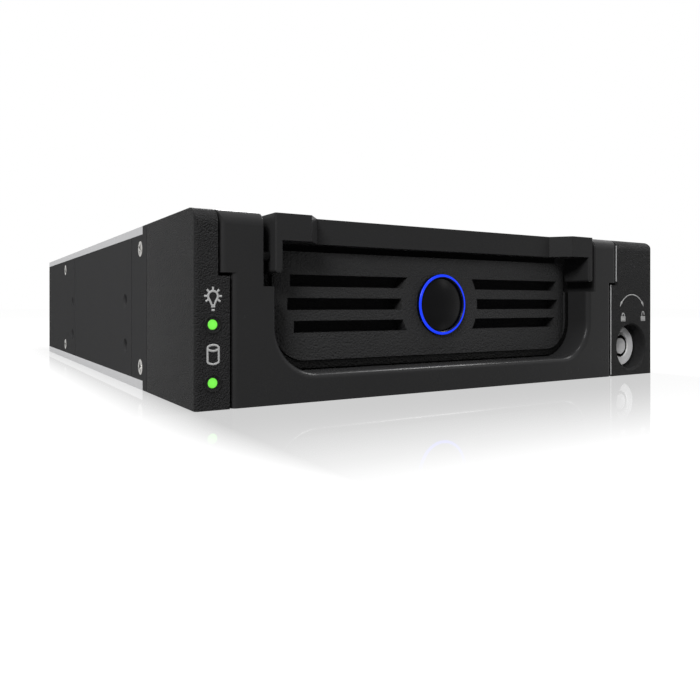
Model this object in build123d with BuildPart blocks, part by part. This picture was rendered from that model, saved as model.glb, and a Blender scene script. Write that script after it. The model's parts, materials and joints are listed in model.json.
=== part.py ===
import os
from math import sqrt

from build123d import *

# A hot swap drive cage for one 5.25 inch bay. X runs across the front, Y from front to rear, Z up.
# The origin is the middle of the whole footprint, on the underside. Sizes are in millimetres, and
# depths are counted from the front face.

# Body
bay_width = 146.0
cage_height = 40.0
body_length = 193.5
sheet = 1.0
hem_top = 2.0
hem_bottom = 2.3
cover_flange = 7.3
rear_inset = 2.0
running_gap = 0.05
seat_gap = 0.3

# Handle
handle_proud = 0.9
handle_side_gap = 2.1
handle_depth = 8.2
handle_block = 8.6
handle_slant = 3.95
handle_edge = 0.4
bar_setback = 4.6
bar_height = 5.6
bar_top_gap = 0.2
bar_wall = 1.4
arm_thickness = 1.8
arm_drop = 6.85
arm_corner = 0.8
pivot_depth = 2.5
pivot_drop = 9.1
pin_radius = 1.0
pin_seat = 3.8
pin_end_gap = 0.4

# Front bezel
bezel_depth = 34.0
bezel_round = 3.0
bezel_corner = 0.8
bezel_rear_edge = 0.4
bezel_wall = 1.6
left_column = 7.3
right_column = 19.1

# Carrier front, a tee shape with an ear at each side above the step
ear_width = 2.5
ear_drop = 12.75
ear_gap = 0.7
carrier_gap = 0.4
flange_depth = 12.0
carrier_corner = 1.3

# Recess in the carrier front, and the notches that take the handle's arms
recess_side = 10.1
recess_floor = 6.2
recess_corner = 10.0
recess_depth = 9.6
rim_round = 1.3
notch_width = 2.9
notch_drop = 15.4
notch_edge = 0.4
notch_lip = 1.6
window_side = 3.3
window_rim = 1.1

# Neck that joins the carrier front to the tray
neck_side = 5.1
neck_low = 3.0
neck_drop = 3.0
neck_wall = 7.6
neck_rim = 3.0
neck_length = 6.5
neck_gap = 0.5

# Vent panel
panel_depth = 6.0
panel_side = 2.2
panel_slope = 4.4
panel_fall = 0.9
panel_low = 8.4
panel_drop = 7.4
panel_corner = 7.8
panel_base = 1.0
panel_lip = 1.6
panel_lip_gap = 0.4
panel_lip_depth = 6.6
panel_fit = 0.05
slot_height = 2.7
slot_lift = (5.3, 0.1, -5.0)
slot_past_flat = (0.4, 1.05, -0.55)
slot_clear_radius = 12.45

# Push button with its light ring, and the two latch bolts that it draws in
button_lift = 0.9
button_travel = 1.8
ring_outer = 7.6
ring_inner = 6.7
ring_depth = 5.0
ring_flange = 1.0
ring_edge = 0.2
cap_radius = 6.55
cap_depth = 4.45
cap_rim_depth = 5.6
cap_back = 9.0
stem_radius = 2.2
crosshead_half = 9.0
crosshead_depth = 12.6
crosshead_length = 2.8
crosshead_height = 6.0
bolt_thickness = 2.0
bolt_depth = 12.3
bolt_width = 5.4
bolt_inner = 4.3
bolt_gap = 0.1
bolt_pocket = 2.2
latch_pin_x = 6.0
latch_pin_radius = 0.8
latch_pin_depth = 14.0

# Drive tray
drive_start = 21.2
drive_end_gap = 0.2
tray_gap = 0.3
tray_sheet = 1.2
tray_floor = 2.8
tray_top = 21.8
tray_flange = 2.0
tray_end_gap = 3.5
tray_screw_inset = 5.4
tray_screw_low = 8.0
tray_screw_drop = 4.7
tray_screw_length = 5.0
tray_vent_height = 10.0
tray_vent_margin = 9.1
tray_strip = 8.0
floor_hole_radius = 1.9
floor_hole_inset = 3.175
floor_hole_y = 44.45
floor_hole_from_rear = 41.28
side_hole_from_rear = 28.5
side_hole_from_front = 16.9
side_hole_height = 6.35
floor_vent = (22.0, 5.0)

# Guide rails and backplane
guide_start = 37.0
guide_rear_gap = 19.5
guide_clear = 0.4
guide_cap = 4.2
guide_base = 3.0
guide_web = 3.0
guide_shelf = 17.5
guide_side_gap = 1.6
groove_gap = 0.3
board_thickness = 1.6
board_edge = 5.0
board_screw_inset = 4.6
board_screw_drop = 2.2
dock_inset = 9.9
dock_width = 42.0
dock_height = 6.2
dock_length = 5.6
dock_lift = 0.6
data_plug_width = 14.0
power_plug_width = 24.0
plug_height = 5.6
plug_length = 13.5
plug_wall = 1.0
plug_z = 14.0
data_plug_inset = 67.0
power_plug_inset = 44.0
plug_window = 4.0

# Side rails with the holes of the bay
rail_thickness = 1.6
collar_depth = 3.4
rail_groove_y = (47.8, 129.2)
rail_groove = 0.5
bay_hole_radius = 1.5
bay_hole_mouth = 0.4
bay_hole_y = 54.6
bay_hole_pitch_y = 79.25
bay_hole_z = 10.0
bay_hole_pitch_z = 11.84
bay_collar_radius = 2.3
bay_collar = 1.4
side_screw_front = 39.6
side_screw_rear_gap = 43.5
side_screw_drop = 5.4
side_screw_bottom = 5.5
side_screw_length = 2.8

# Screws
screw_head = 1.95
screw_shank = 1.0
pan_head = 1.9
pan_height = 1.2
bezel_screw_out = 3.6
bezel_screw_inset = 8.0
bezel_screw_length = 6.0
rear_screw_inset = 23.4
rear_screw_gap = 7.0
rear_flange = 8.0
guide_screw_front = 60.0
guide_screw_rear = 24.0
guide_screw_inset = 6.0
guide_screw_length = 3.4

# Fan
fan_clear = 5.0
fan_depth = 10.0
fan_hole_inset = 3.0
fan_corner = 2.0
fan_wall = 1.1
fan_hole = 1.45
hub_radius = 7.0
hub_wall = 1.0
hub_start = 1.0
hub_length = 6.4
blade_count = 7
blade_gap = 0.6
blade_root_chord = 5.6
blade_tip_chord = 7.0
blade_root_pitch = 45.0
blade_tip_pitch = 30.0
blade_thickness = 0.9
shaft_radius = 1.0
bearing_radius = 1.9
bearing_length = 5.0
bearing_tube = 2.7
strut_thickness = 1.4
strut_width = 2.0
grille_step = 4.0
grille_bar = 1.6

# Cam lock
lock_inset = 10.0
lock_z = 8.4
lock_hole = 6.65
lock_rim = 0.4
lock_set = 3.4
lock_radius = 6.05
lock_shoulder = 9.0
lock_neck_radius = 4.9
lock_end = 13.6
keyway_radius = 3.35
keyway_depth = 6.0
key_notch_half = 0.8
key_notch_reach = 4.2
core_pin_radius = 2.35
core_set = 0.2
nut_depth = 11.0
nut_height = 2.2
nut_half = 6.1
cam_hub = 3.6
cam_length = 17.5
cam_width = 5.0
cam_depth = 14.6
cam_thickness = 1.5
cam_square = 3.6
cam_swing_gap = 0.5
cam_pocket_low = 1.3
cam_pocket_room = 3.6
cam_screw_reach = 3.0

# Status lights in the left column
light_inset = 3.7
light_z = (16.9, 5.4)
light_radius = 1.0
light_shoulder = 1.5
light_front = 6.0
light_back = 8.6
light_edge = 0.2
led_half = 1.25
lamp_board_depth = 11.0
lamp_board_thickness = 1.0
lamp_pocket_below = 2.8
lamp_pocket_above = 5.0
column_wall = 1.2

# Places that follow from the sizes above
front_y = -(body_length - handle_proud) / 2
rear_face = body_length - rear_inset
mid_z = cage_height / 2
inner_face = bay_width / 2 - rail_thickness
carrier_width = bay_width - left_column - right_column - 2 * carrier_gap
carrier_half = carrier_width / 2
carrier_x = (left_column - right_column) / 2
ear_z = cage_height - ear_drop
recess_half = carrier_half - recess_side
notch_z = cage_height - notch_drop
handle_width = 2 * (recess_half + notch_width - handle_side_gap)
pivot_z = cage_height - pivot_drop
bar_top = cage_height - bar_top_gap
bar_low = bar_top - bar_height
button_z = mid_z + button_lift
window_width = 2 * (recess_half - window_side)
window_half = ring_outer + ring_flange + window_rim
window_low = button_z - window_half
window_high = button_z + window_half
neck_half = carrier_half - neck_side
neck_width = 2 * neck_half
neck_high = cage_height - neck_drop
panel_width = 2 * (recess_half - panel_side)
panel_flat = panel_width - 2 * panel_slope
panel_high = cage_height - panel_drop
tray_outer = neck_half - tray_flange
tray_inner = tray_outer - tray_sheet
drive_width = 2 * (tray_inner - tray_gap)
tray_start = flange_depth + neck_length
tray_screw_x = neck_half - tray_screw_inset
tray_screw_z = (tray_screw_low, button_z - tray_screw_drop)
tray_vent_width = tray_inner - tray_vent_margin - tray_strip / 2
guide_end = body_length - guide_rear_gap
guide_top = tray_top + guide_cap
guide_face = inner_face - guide_side_gap
guide_screw_y = (guide_screw_front, guide_end - guide_screw_rear)
tray_length = guide_end - tray_end_gap - tray_start
dock_front = guide_end - dock_length
drive_end = dock_front - drive_end_gap
drive_length = drive_end - drive_start
floor_hole_x = drive_width - 2 * floor_hole_inset
side_hole_pitch = drive_length - side_hole_from_rear - side_hole_from_front
board_back = guide_end + board_thickness
board_screw_x = guide_face - board_screw_inset
board_screw_z = guide_top - board_screw_drop
dock_x = carrier_x + drive_width / 2 - dock_inset - dock_width / 2
data_plug_x = bay_width / 2 - data_plug_inset
power_plug_x = bay_width / 2 - power_plug_inset
side_screw_y = (side_screw_front, body_length - side_screw_rear_gap)
side_screw_top = cage_height - side_screw_drop
bezel_screw_x = neck_half + bezel_screw_out
bezel_screw_z = (bezel_screw_inset, cage_height - bezel_screw_inset)
rear_screw_x = inner_face - rear_screw_inset
rear_screw_depth = body_length - rear_screw_gap
plugs_low = data_plug_x - data_plug_width / 2 - plug_window
plugs_high = power_plug_x + power_plug_width / 2 + plug_window
fan_start = rear_face - sheet - fan_depth
fan_size = cage_height - fan_clear
fan_pitch = fan_size - 2 * fan_hole_inset
fan_duct = fan_size / 2 - fan_wall
fan_x = (plugs_low - inner_face) / 2
blade_tip = fan_duct - blade_gap
lock_x = bay_width / 2 - lock_inset
cam_pocket_high = lock_z + cam_length + cam_pocket_room
light_x = light_inset - bay_width / 2
lamp_pocket_low = light_z[1] - lamp_pocket_below
lamp_pocket_high = light_z[0] + lamp_pocket_above
sides = (-1, 1)


def front_plane(depth):
    """Sketch plane at a depth behind the front face; a negative extrusion goes rearwards."""
    return Plane.XZ.offset(-(front_y + depth))


def block(x, y, z, mode=Mode.ADD):
    """A box between pairs of limits, with y counted from the front face."""
    with Locations(((x[0] + x[1]) / 2, front_y + (y[0] + y[1]) / 2, (z[0] + z[1]) / 2)):
        Box(abs(x[1] - x[0]), y[1] - y[0], z[1] - z[0], mode=mode)


def rod(x, z, radius, start, end, mode=Mode.ADD):
    """A cylinder along the depth, between two depths behind the front face."""
    with Locations(Location((x, front_y + (start + end) / 2, z), (90, 0, 0))):
        Cylinder(radius, end - start, mode=mode)


def cross_rod(start, end, y, z, radius, mode=Mode.ADD):
    """A cylinder across the front, between two places along X."""
    with Locations(Location(((start + end) / 2, front_y + y, z), (0, 90, 0))):
        Cylinder(radius, abs(end - start), mode=mode)


def tee_outline(grow, step_z, low, high):
    """The carrier front's outline about its own centre line, grown on both sides."""
    half = carrier_half + grow
    ear = half + ear_width
    left = [(-half, low), (-half, step_z), (-ear, step_z), (-ear, high)]
    return left + [(-x, z) for x, z in reversed(left)]


def tub_outline(half, low, high, corner):
    """A shape with round lower corners and square upper ones, about the carrier's centre line."""
    with BuildSketch() as outline:
        with Locations((0, (low + high) / 2)):
            Rectangle(2 * half, high - low)
        fillet(outline.vertices().group_by(Axis.Y)[0], corner)
    return outline.sketch


def round_top(depth):
    """Rounds the front's upper edge and leaves the sides of the top sharp."""
    with BuildSketch(Plane.YZ.offset(-bay_width / 2)) as profile:
        with Locations((front_y + depth / 2, mid_z)):
            Rectangle(depth, cage_height)
        fillet(profile.vertices().group_by(Axis.X)[0].sort_by(Axis.Y)[-1], bezel_round)
    extrude(profile.sketch, amount=bay_width, mode=Mode.INTERSECT)


def save(part, name):
    part.label = name
    export_step(part, f"parts/{name}.step")


os.makedirs("parts", exist_ok=True)

# Front bezel: two columns joined behind the carrier front
lamp_pocket_x = (bezel_wall - bay_width / 2, carrier_x - carrier_half - carrier_gap - column_wall)
cam_pocket_x = (carrier_x + carrier_half + carrier_gap + column_wall, bay_width / 2 - bezel_wall)
cam_slot_y = (cam_depth - cam_swing_gap, cam_depth + cam_thickness + cam_swing_gap)
cam_corner = sqrt(cam_length**2 + (cam_width / 2) ** 2)
cam_low = lock_z - cam_width / 2 - cam_swing_gap
cam_entry_high = lock_z + sqrt(cam_corner**2 - (lock_x - cam_pocket_x[0]) ** 2) + cam_swing_gap
bolt_band = bolt_thickness / 2 + bolt_gap
bolt_z = (button_z - bolt_band, button_z + bolt_band)
bolt_y = (bolt_depth - bolt_gap, bolt_depth + bolt_width + bolt_gap)
neck_clear = neck_half + neck_gap
with BuildPart() as front_bezel:
    with BuildSketch(front_plane(0)):
        with Locations((0, mid_z)):
            Rectangle(bay_width, cage_height)
    extrude(amount=-bezel_depth)
    fillet(front_bezel.edges().filter_by(Axis.Z).group_by(Axis.Y)[0], bezel_corner)
    chamfer(front_bezel.edges().filter_by(Axis.Z).group_by(Axis.Y)[-1], bezel_rear_edge)
    round_top(bezel_depth)
    with BuildSketch(front_plane(0)):
        with Locations((carrier_x, 0)):
            Polygon(*tee_outline(carrier_gap, ear_z - ear_gap, -1, cage_height + 1), align=None)
    extrude(amount=-(flange_depth + carrier_gap), mode=Mode.SUBTRACT)
    with BuildSketch(front_plane(0)):
        with Locations((carrier_x, (neck_low + neck_high) / 2)):
            Rectangle(2 * neck_clear, neck_high - neck_low + 2 * neck_gap)
    extrude(amount=-bezel_depth, mode=Mode.SUBTRACT)
    # keeper pockets for the latch bolts
    pocket_reach = neck_clear + bolt_pocket
    block((carrier_x - pocket_reach, carrier_x + pocket_reach), bolt_y, bolt_z, Mode.SUBTRACT)
    # stepped bores for the light pipes, and the pocket for their board
    for z in light_z:
        rod(light_x, z, light_radius + running_gap, 0, light_back, Mode.SUBTRACT)
        rod(light_x, z, light_shoulder + running_gap, light_front, light_back, Mode.SUBTRACT)
    block(lamp_pocket_x, (light_back, bezel_depth), (lamp_pocket_low, lamp_pocket_high), Mode.SUBTRACT)
    # stepped lock bore with a chamfered rim, and the pocket in which the cam swings
    rod(lock_x, lock_z, lock_hole, 0, lock_set, Mode.SUBTRACT)
    rod(lock_x, lock_z, lock_radius + running_gap, 0, lock_shoulder, Mode.SUBTRACT)
    rod(lock_x, lock_z, lock_neck_radius + running_gap, 0, nut_depth, Mode.SUBTRACT)
    block(cam_pocket_x, (nut_depth, bezel_depth), (cam_pocket_low, cam_pocket_high), Mode.SUBTRACT)
    block((carrier_x + neck_half, cam_pocket_x[1]), cam_slot_y, (cam_low, cam_entry_high), Mode.SUBTRACT)
    lock_mouth = front_bezel.edges().filter_by(GeomType.CIRCLE).group_by(Axis.Y)[0]
    chamfer(lock_mouth.sort_by(SortBy.RADIUS)[-1], lock_rim)
    for side in sides:
        for z in bezel_screw_z:
            hole_x = carrier_x + side * bezel_screw_x
            rod(hole_x, z, screw_shank, bezel_depth - bezel_screw_length, bezel_depth, Mode.SUBTRACT)
save(front_bezel.part, "front_bezel")

# Light pipes, their lamps and the board that carries them
pipe_profile = [
    (0, 0),
    (light_radius, 0),
    (light_radius, light_front),
    (light_shoulder, light_front),
    (light_shoulder, light_back),
    (0, light_back),
]
for name, z in zip(("upper", "lower"), light_z):
    with BuildPart() as light_pipe:
        with BuildSketch(Plane.XY.offset(z)):
            with Locations((light_x, front_y)):
                Polygon(*pipe_profile, align=None)
        revolve(axis=Axis((light_x, front_y, z), (0, 1, 0)))
        fillet(light_pipe.edges().filter_by(GeomType.CIRCLE).group_by(Axis.Y)[0], light_edge)
    save(light_pipe.part, f"{name}_light_pipe")
    with BuildPart() as led:
        led_x = (light_x - led_half, light_x + led_half)
        block(led_x, (light_back, lamp_board_depth), (z - led_half, z + led_half))
        rod(light_x, z, light_radius, light_back, lamp_board_depth - 1)
    save(led.part, f"{name}_led")
with BuildPart() as lamp_board:
    board_x = (lamp_pocket_x[0] + panel_fit, lamp_pocket_x[1] - panel_fit)
    board_y = (lamp_board_depth, lamp_board_depth + lamp_board_thickness)
    block(board_x, board_y, (lamp_pocket_low + panel_fit, lamp_pocket_high - panel_fit))
save(lamp_board.part, "lamp_board")

# Cam lock: the housing and nut stay, the core and cam turn
with BuildPart() as lock_housing:
    rod(lock_x, lock_z, lock_radius, lock_set, lock_shoulder)
    rod(lock_x, lock_z, lock_neck_radius, lock_shoulder, lock_end)
    chamfer(lock_housing.edges().filter_by(GeomType.CIRCLE).group_by(Axis.Y)[0], lock_rim)
    rod(lock_x, lock_z, keyway_radius, lock_set, lock_end, Mode.SUBTRACT)
    notch_x = (lock_x - key_notch_half, lock_x + key_notch_half)
    block(notch_x, (lock_set, lock_set + keyway_depth), (lock_z, lock_z + key_notch_reach), Mode.SUBTRACT)
save(lock_housing.part, "lock_housing")
with BuildPart() as lock_nut:
    with BuildSketch(front_plane(nut_depth)):
        with Locations((lock_x, lock_z)):
            RegularPolygon(nut_half, 6, major_radius=False)
            Circle(lock_neck_radius, mode=Mode.SUBTRACT)
    extrude(amount=-nut_height)
save(lock_nut.part, "lock_nut")
with BuildPart() as lock_core:
    rod(lock_x, lock_z, core_pin_radius, lock_set + core_set, lock_set + keyway_depth)
    rod(lock_x, lock_z, keyway_radius - running_gap, lock_set + keyway_depth, cam_depth)
    with BuildSketch(front_plane(cam_depth)):
        with Locations((lock_x, lock_z)):
            Rectangle(cam_square, cam_square)
    extrude(amount=-cam_thickness)
    rod(lock_x, lock_z, screw_shank, cam_depth - cam_screw_reach, cam_depth + cam_thickness, Mode.SUBTRACT)
save(lock_core.part, "lock_core")
with BuildPart() as lock_cam:
    with BuildSketch(front_plane(cam_depth)):
        with Locations((lock_x, lock_z)):
            Circle(cam_hub)
            with Locations((0, cam_length / 2)):
                Rectangle(cam_width, cam_length)
            Rectangle(cam_square, cam_square, mode=Mode.SUBTRACT)
    extrude(amount=-cam_thickness)
save(lock_cam.part, "lock_cam")
with BuildPart() as cam_screw:
    rod(lock_x, lock_z, screw_shank, cam_depth - cam_screw_reach, cam_depth + cam_thickness)
    cam_back = cam_depth + cam_thickness
    rod(lock_x, lock_z, cam_hub - cam_swing_gap, cam_back, cam_back + pan_height)
save(cam_screw.part, "cam_screw")

# Carrier front: a moulded frame round the recess, with the neck behind it
with BuildPart() as carrier_front:
    with BuildSketch(front_plane(0)):
        with Locations((carrier_x, 0)):
            Polygon(*tee_outline(0, ear_z, 0, cage_height), align=None)
    extrude(amount=-flange_depth)
    fillet(carrier_front.edges().filter_by(Axis.Z).group_by(Axis.Y)[0], carrier_corner)
    round_top(flange_depth)
    with BuildSketch(front_plane(flange_depth)):
        with Locations((carrier_x, (neck_low + neck_high) / 2)):
            Rectangle(neck_width, neck_high - neck_low)
            Rectangle(neck_width - 2 * neck_wall, neck_high - neck_low - 2 * neck_rim, mode=Mode.SUBTRACT)
    extrude(amount=-neck_length)
    with BuildSketch(front_plane(0)):
        with Locations((carrier_x, 0)):
            with BuildSketch(mode=Mode.PRIVATE) as opening:
                add(tub_outline(recess_half, recess_floor, cage_height + 1, recess_corner))
                with Locations((0, (notch_z + cage_height + 1) / 2)):
                    Rectangle(2 * (recess_half + notch_width), cage_height + 1 - notch_z)
                lips = opening.vertices().filter_by_position(Axis.Y, notch_z, notch_z)
                fillet(lips.filter_by(lambda corner: abs(corner.X) < recess_half + 1), notch_lip)
            add(opening.sketch)
    extrude(amount=-recess_depth, mode=Mode.SUBTRACT)
    front_edges = carrier_front.edges().group_by(Axis.Y)[0].filter_by_position(Axis.Z, 1, notch_z - 2)
    fillet(front_edges.filter_by(lambda edge: abs(edge.center().X - carrier_x) < recess_half + 1), rim_round)
    upright = carrier_front.edges().group_by(Axis.Y)[0].filter_by(Axis.Z)
    notch_reach = recess_half + notch_width + notch_edge
    fillet(upright.filter_by(lambda edge: abs(edge.center().X - carrier_x) < notch_reach), notch_edge)
    with BuildSketch(front_plane(recess_depth)):
        with Locations((carrier_x, (window_low + window_high) / 2)):
            Rectangle(window_width, window_high - window_low)
    extrude(amount=-(flange_depth - recess_depth), mode=Mode.SUBTRACT)
    block((carrier_x - neck_half, carrier_x + neck_half), bolt_y, bolt_z, Mode.SUBTRACT)
    # slot in the side of the neck, where the lock's cam enters
    cam_exit_high = lock_z + sqrt(cam_corner**2 - (lock_x - carrier_x - neck_half) ** 2) + cam_swing_gap
    cam_slot_x = (lock_x - cam_corner - cam_swing_gap, carrier_x + neck_half)
    block(cam_slot_x, cam_slot_y, (cam_low, cam_exit_high), Mode.SUBTRACT)
    # seats for the handle's pins and pilot holes for the tray's screws
    for side in sides:
        pin_x = carrier_x + side * (recess_half + notch_width)
        cross_rod(pin_x, pin_x + side * pin_seat, pivot_depth, pivot_z, pin_radius, Mode.SUBTRACT)
        for z in tray_screw_z:
            hole_x = carrier_x + side * tray_screw_x
            rod(hole_x, z, screw_shank, tray_start - tray_screw_length, tray_start, Mode.SUBTRACT)
save(carrier_front.part, "carrier_front")

# Vent panel: a raised middle that falls away in an arc at each end, on a base with a thin lip
with BuildPart() as vent_panel:
    edge_x = panel_width / 2
    flat_x = panel_flat / 2
    base_front = recess_depth - panel_base
    edge_front = panel_depth + panel_fall
    with BuildSketch(Plane.XY.offset(panel_low)):
        with Locations((carrier_x, front_y)):
            with BuildSketch(mode=Mode.PRIVATE) as bulge:
                with BuildLine():
                    Line((-flat_x, panel_depth), (flat_x, panel_depth))
                    TangentArc((flat_x, panel_depth), (edge_x, edge_front), tangent=(1, 0))
                    Line((edge_x, edge_front), (edge_x, recess_depth))
                    Line((edge_x, recess_depth), (-edge_x, recess_depth))
                    Line((-edge_x, recess_depth), (-edge_x, edge_front))
                    TangentArc((-flat_x, panel_depth), (-edge_x, edge_front), tangent=(-1, 0))
                make_face()
            add(bulge.sketch)
    extrude(amount=panel_high - panel_low)
    with BuildSketch(front_plane(panel_depth)):
        with Locations((carrier_x, 0)):
            add(tub_outline(edge_x, panel_low, panel_high, panel_corner))
    extrude(amount=-(recess_depth - panel_depth), mode=Mode.INTERSECT)
    with BuildSketch(front_plane(base_front)):
        with Locations((carrier_x, 0)):
            add(tub_outline(recess_half - panel_fit, recess_floor + panel_fit, panel_high, recess_corner))
    extrude(amount=-panel_base)
    with BuildSketch(front_plane(panel_lip_depth)):
        with Locations((carrier_x, 0)):
            lip_low = recess_floor + panel_lip_gap
            lip_half = recess_half - panel_lip_gap
            lip_corner = recess_corner - panel_lip_gap
            add(tub_outline(lip_half, lip_low, notch_z, lip_corner))
            inner_half = lip_half - panel_lip
            inner_corner = lip_corner - panel_lip
            add(tub_outline(inner_half, lip_low + panel_lip, notch_z + 1, inner_corner), mode=Mode.SUBTRACT)
    extrude(amount=-(recess_depth - panel_lip_depth))
    for lift, past in zip(slot_lift, slot_past_flat):
        with BuildSketch(front_plane(panel_depth)):
            with Locations((carrier_x, button_z + lift)):
                Rectangle(panel_flat + 2 * past, slot_height)
            with Locations((carrier_x, button_z)):
                Circle(slot_clear_radius, mode=Mode.SUBTRACT)
        extrude(amount=-(recess_depth - panel_depth), mode=Mode.SUBTRACT)
    rod(carrier_x, button_z, ring_outer + panel_fit, panel_depth, recess_depth, Mode.SUBTRACT)
save(vent_panel.part, "vent_panel")

# Light ring round the button
with BuildPart() as ring_light:
    rod(carrier_x, button_z, ring_outer, ring_depth, recess_depth)
    rod(carrier_x, button_z, ring_outer + ring_flange, recess_depth, recess_depth + ring_flange)
    rod(carrier_x, button_z, ring_inner, ring_depth, recess_depth + ring_flange, Mode.SUBTRACT)
    chamfer(ring_light.edges().filter_by(GeomType.CIRCLE).group_by(Axis.Y)[0], ring_edge)
save(ring_light.part, "ring_light")

# Button: a domed cap on a stem, with a crosshead that straddles both latch bolts
with BuildPart() as button_cap:
    with BuildSketch(Plane.XY.offset(button_z)):
        with Locations((carrier_x, front_y)):
            with BuildSketch(mode=Mode.PRIVATE) as cap_profile:
                with BuildLine():
                    TangentArc((0, cap_depth), (cap_radius, cap_rim_depth), tangent=(1, 0))
                    Polyline(
                        (cap_radius, cap_rim_depth),
                        (cap_radius, cap_back),
                        (stem_radius, cap_back),
                        (stem_radius, crosshead_depth),
                        (0, crosshead_depth),
                        (0, cap_depth),
                    )
                make_face()
            add(cap_profile.sketch)
    revolve(axis=Axis((carrier_x, front_y, button_z), (0, 1, 0)))
    crosshead_y = (crosshead_depth, crosshead_depth + crosshead_length)
    crosshead_z = (button_z - crosshead_height / 2, button_z + crosshead_height / 2)
    block((carrier_x - crosshead_half, carrier_x + crosshead_half), crosshead_y, crosshead_z)
    for side in sides:
        slot_x = sorted((carrier_x + side * stem_radius, carrier_x + side * crosshead_half))
        block(slot_x, crosshead_y, bolt_z, Mode.SUBTRACT)
        with Locations((carrier_x + side * latch_pin_x, front_y + latch_pin_depth, button_z)):
            Cylinder(latch_pin_radius, crosshead_height, mode=Mode.SUBTRACT)
save(button_cap.part, "button_cap")
with BuildPart() as latch_pins:
    for side in sides:
        with Locations((carrier_x + side * latch_pin_x, front_y + latch_pin_depth, button_z)):
            Cylinder(latch_pin_radius, crosshead_height)
save(latch_pins.part, "latch_pins")
# Latch bolts: each has an oblique slot that a pin of the crosshead draws inwards
for name, side in zip(("left", "right"), sides):
    with BuildPart() as latch_bolt:
        with BuildSketch(Plane.XY.offset(button_z - bolt_thickness / 2)):
            bolt_mid = carrier_x + side * (bolt_inner + neck_half) / 2
            with Locations((bolt_mid, front_y + bolt_depth + bolt_width / 2)):
                Rectangle(neck_half - bolt_inner, bolt_width)
            slot_x = carrier_x + side * (latch_pin_x + button_travel / 2)
            slot_y = front_y + latch_pin_depth + button_travel / 2
            with Locations(Location((slot_x, slot_y, 0), (0, 0, 90 - 45 * side))):
                slot_width = 2 * (latch_pin_radius + running_gap)
                SlotCenterToCenter(button_travel * sqrt(2), slot_width, mode=Mode.SUBTRACT)
        extrude(amount=bolt_thickness)
        nose = latch_bolt.edges().filter_by(Axis.Z).sort_by(Axis.X)
        chamfer(nose[:2] if side < 0 else nose[-2:], bolt_thickness / 3)
    save(latch_bolt.part, f"{name}_latch_bolt")

# Handle: a set-back bar between two blocks, each with an arm down to its pivot
handle_half = handle_width / 2
handle_back = handle_depth - handle_proud
bar_front = bar_setback - handle_proud
block_x = handle_half - handle_block
with BuildPart() as handle:
    right_side = [
        (block_x - handle_slant, bar_front),
        (block_x, -handle_proud),
        (handle_half, -handle_proud),
        (handle_half, handle_back),
    ]
    left_side = [(-x, y) for x, y in reversed(right_side)]
    with BuildSketch(Plane.XY.offset(bar_low)):
        with Locations((carrier_x, front_y)):
            Polygon(*(right_side + left_side), align=None)
    extrude(amount=bar_height)
    for side in sides:
        arm_x = sorted((carrier_x + side * handle_half, carrier_x + side * (handle_half - arm_thickness)))
        block(arm_x, (-handle_proud, handle_back), (bar_low - arm_drop, bar_low))
    fillet(handle.edges().filter_by(Axis.Y).group_by(Axis.Z)[0], arm_corner)
    fillet(handle.edges().filter_by(Axis.Z).group_by(Axis.Y)[0], handle_edge)
    # open back of the moulding
    core_z = (bar_low + bar_wall, bar_top - bar_wall)
    core_y = (bar_front + bar_wall, handle_back)
    core_half = block_x - handle_slant
    block((carrier_x - core_half, carrier_x + core_half), core_y, core_z, Mode.SUBTRACT)
    for side in sides:
        outer_x = carrier_x + side * handle_half
        bore_x = outer_x - side * (arm_thickness - pin_end_gap)
        cross_rod(outer_x, bore_x, pivot_depth, pivot_z, pin_radius + running_gap, Mode.SUBTRACT)
save(handle.part, "handle")
with BuildPart() as handle_pins:
    for side in sides:
        pin_in = carrier_x + side * (handle_half - arm_thickness + 2 * pin_end_gap)
        pin_out = carrier_x + side * (recess_half + notch_width + pin_seat)
        cross_rod(pin_in, pin_out, pivot_depth, pivot_z, pin_radius)
save(handle_pins.part, "handle_pins")

# Drive tray: a folded sheet whose upper flanges run in the guide rails
with BuildPart() as drive_tray:
    right_side = [
        (tray_outer, tray_floor),
        (tray_outer, tray_top - tray_sheet),
        (tray_outer + tray_flange, tray_top - tray_sheet),
        (tray_outer + tray_flange, tray_top),
        (tray_inner, tray_top),
        (tray_inner, tray_floor + tray_sheet),
    ]
    outer = right_side + [(-x, z) for x, z in reversed(right_side)]
    with BuildSketch(front_plane(tray_start)):
        with Locations((carrier_x, 0)):
            Polygon(*outer, align=None)
    extrude(amount=-tray_length)
    wall_z = (tray_floor, tray_top - tray_sheet)
    block((carrier_x - tray_inner, carrier_x + tray_inner), (tray_start, tray_start + tray_sheet), wall_z)
    with BuildSketch(front_plane(tray_start)):
        with Locations((carrier_x, sum(wall_z) / 2)):
            with GridLocations(tray_vent_width + tray_strip, 0, 2, 1):
                Rectangle(tray_vent_width, tray_vent_height)
        for side in sides:
            for z in tray_screw_z:
                with Locations((carrier_x + side * tray_screw_x, z)):
                    Circle(screw_shank + running_gap)
    extrude(amount=-tray_sheet, mode=Mode.SUBTRACT)
    # the drive's own screw holes in floor and sides, and the floor's vents
    floor_y = front_y + drive_end - floor_hole_from_rear - floor_hole_y / 2
    with BuildSketch(Plane.XY.offset(tray_floor)):
        with Locations((carrier_x, floor_y)):
            with GridLocations(floor_hole_x, floor_hole_y, 2, 2):
                Circle(floor_hole_radius)
            with GridLocations(floor_vent[0] * 1.3, floor_vent[1] * 3, 3, 6):
                SlotOverall(*floor_vent)
    extrude(amount=tray_sheet, mode=Mode.SUBTRACT)
    side_hole_z = tray_floor + tray_sheet + side_hole_height
    for y in (drive_end - side_hole_from_rear, drive_end - side_hole_from_rear - side_hole_pitch):
        hole_ends = (carrier_x - tray_outer, carrier_x + tray_outer)
        cross_rod(*hole_ends, y, side_hole_z, floor_hole_radius, Mode.SUBTRACT)
save(drive_tray.part, "drive_tray")
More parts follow.
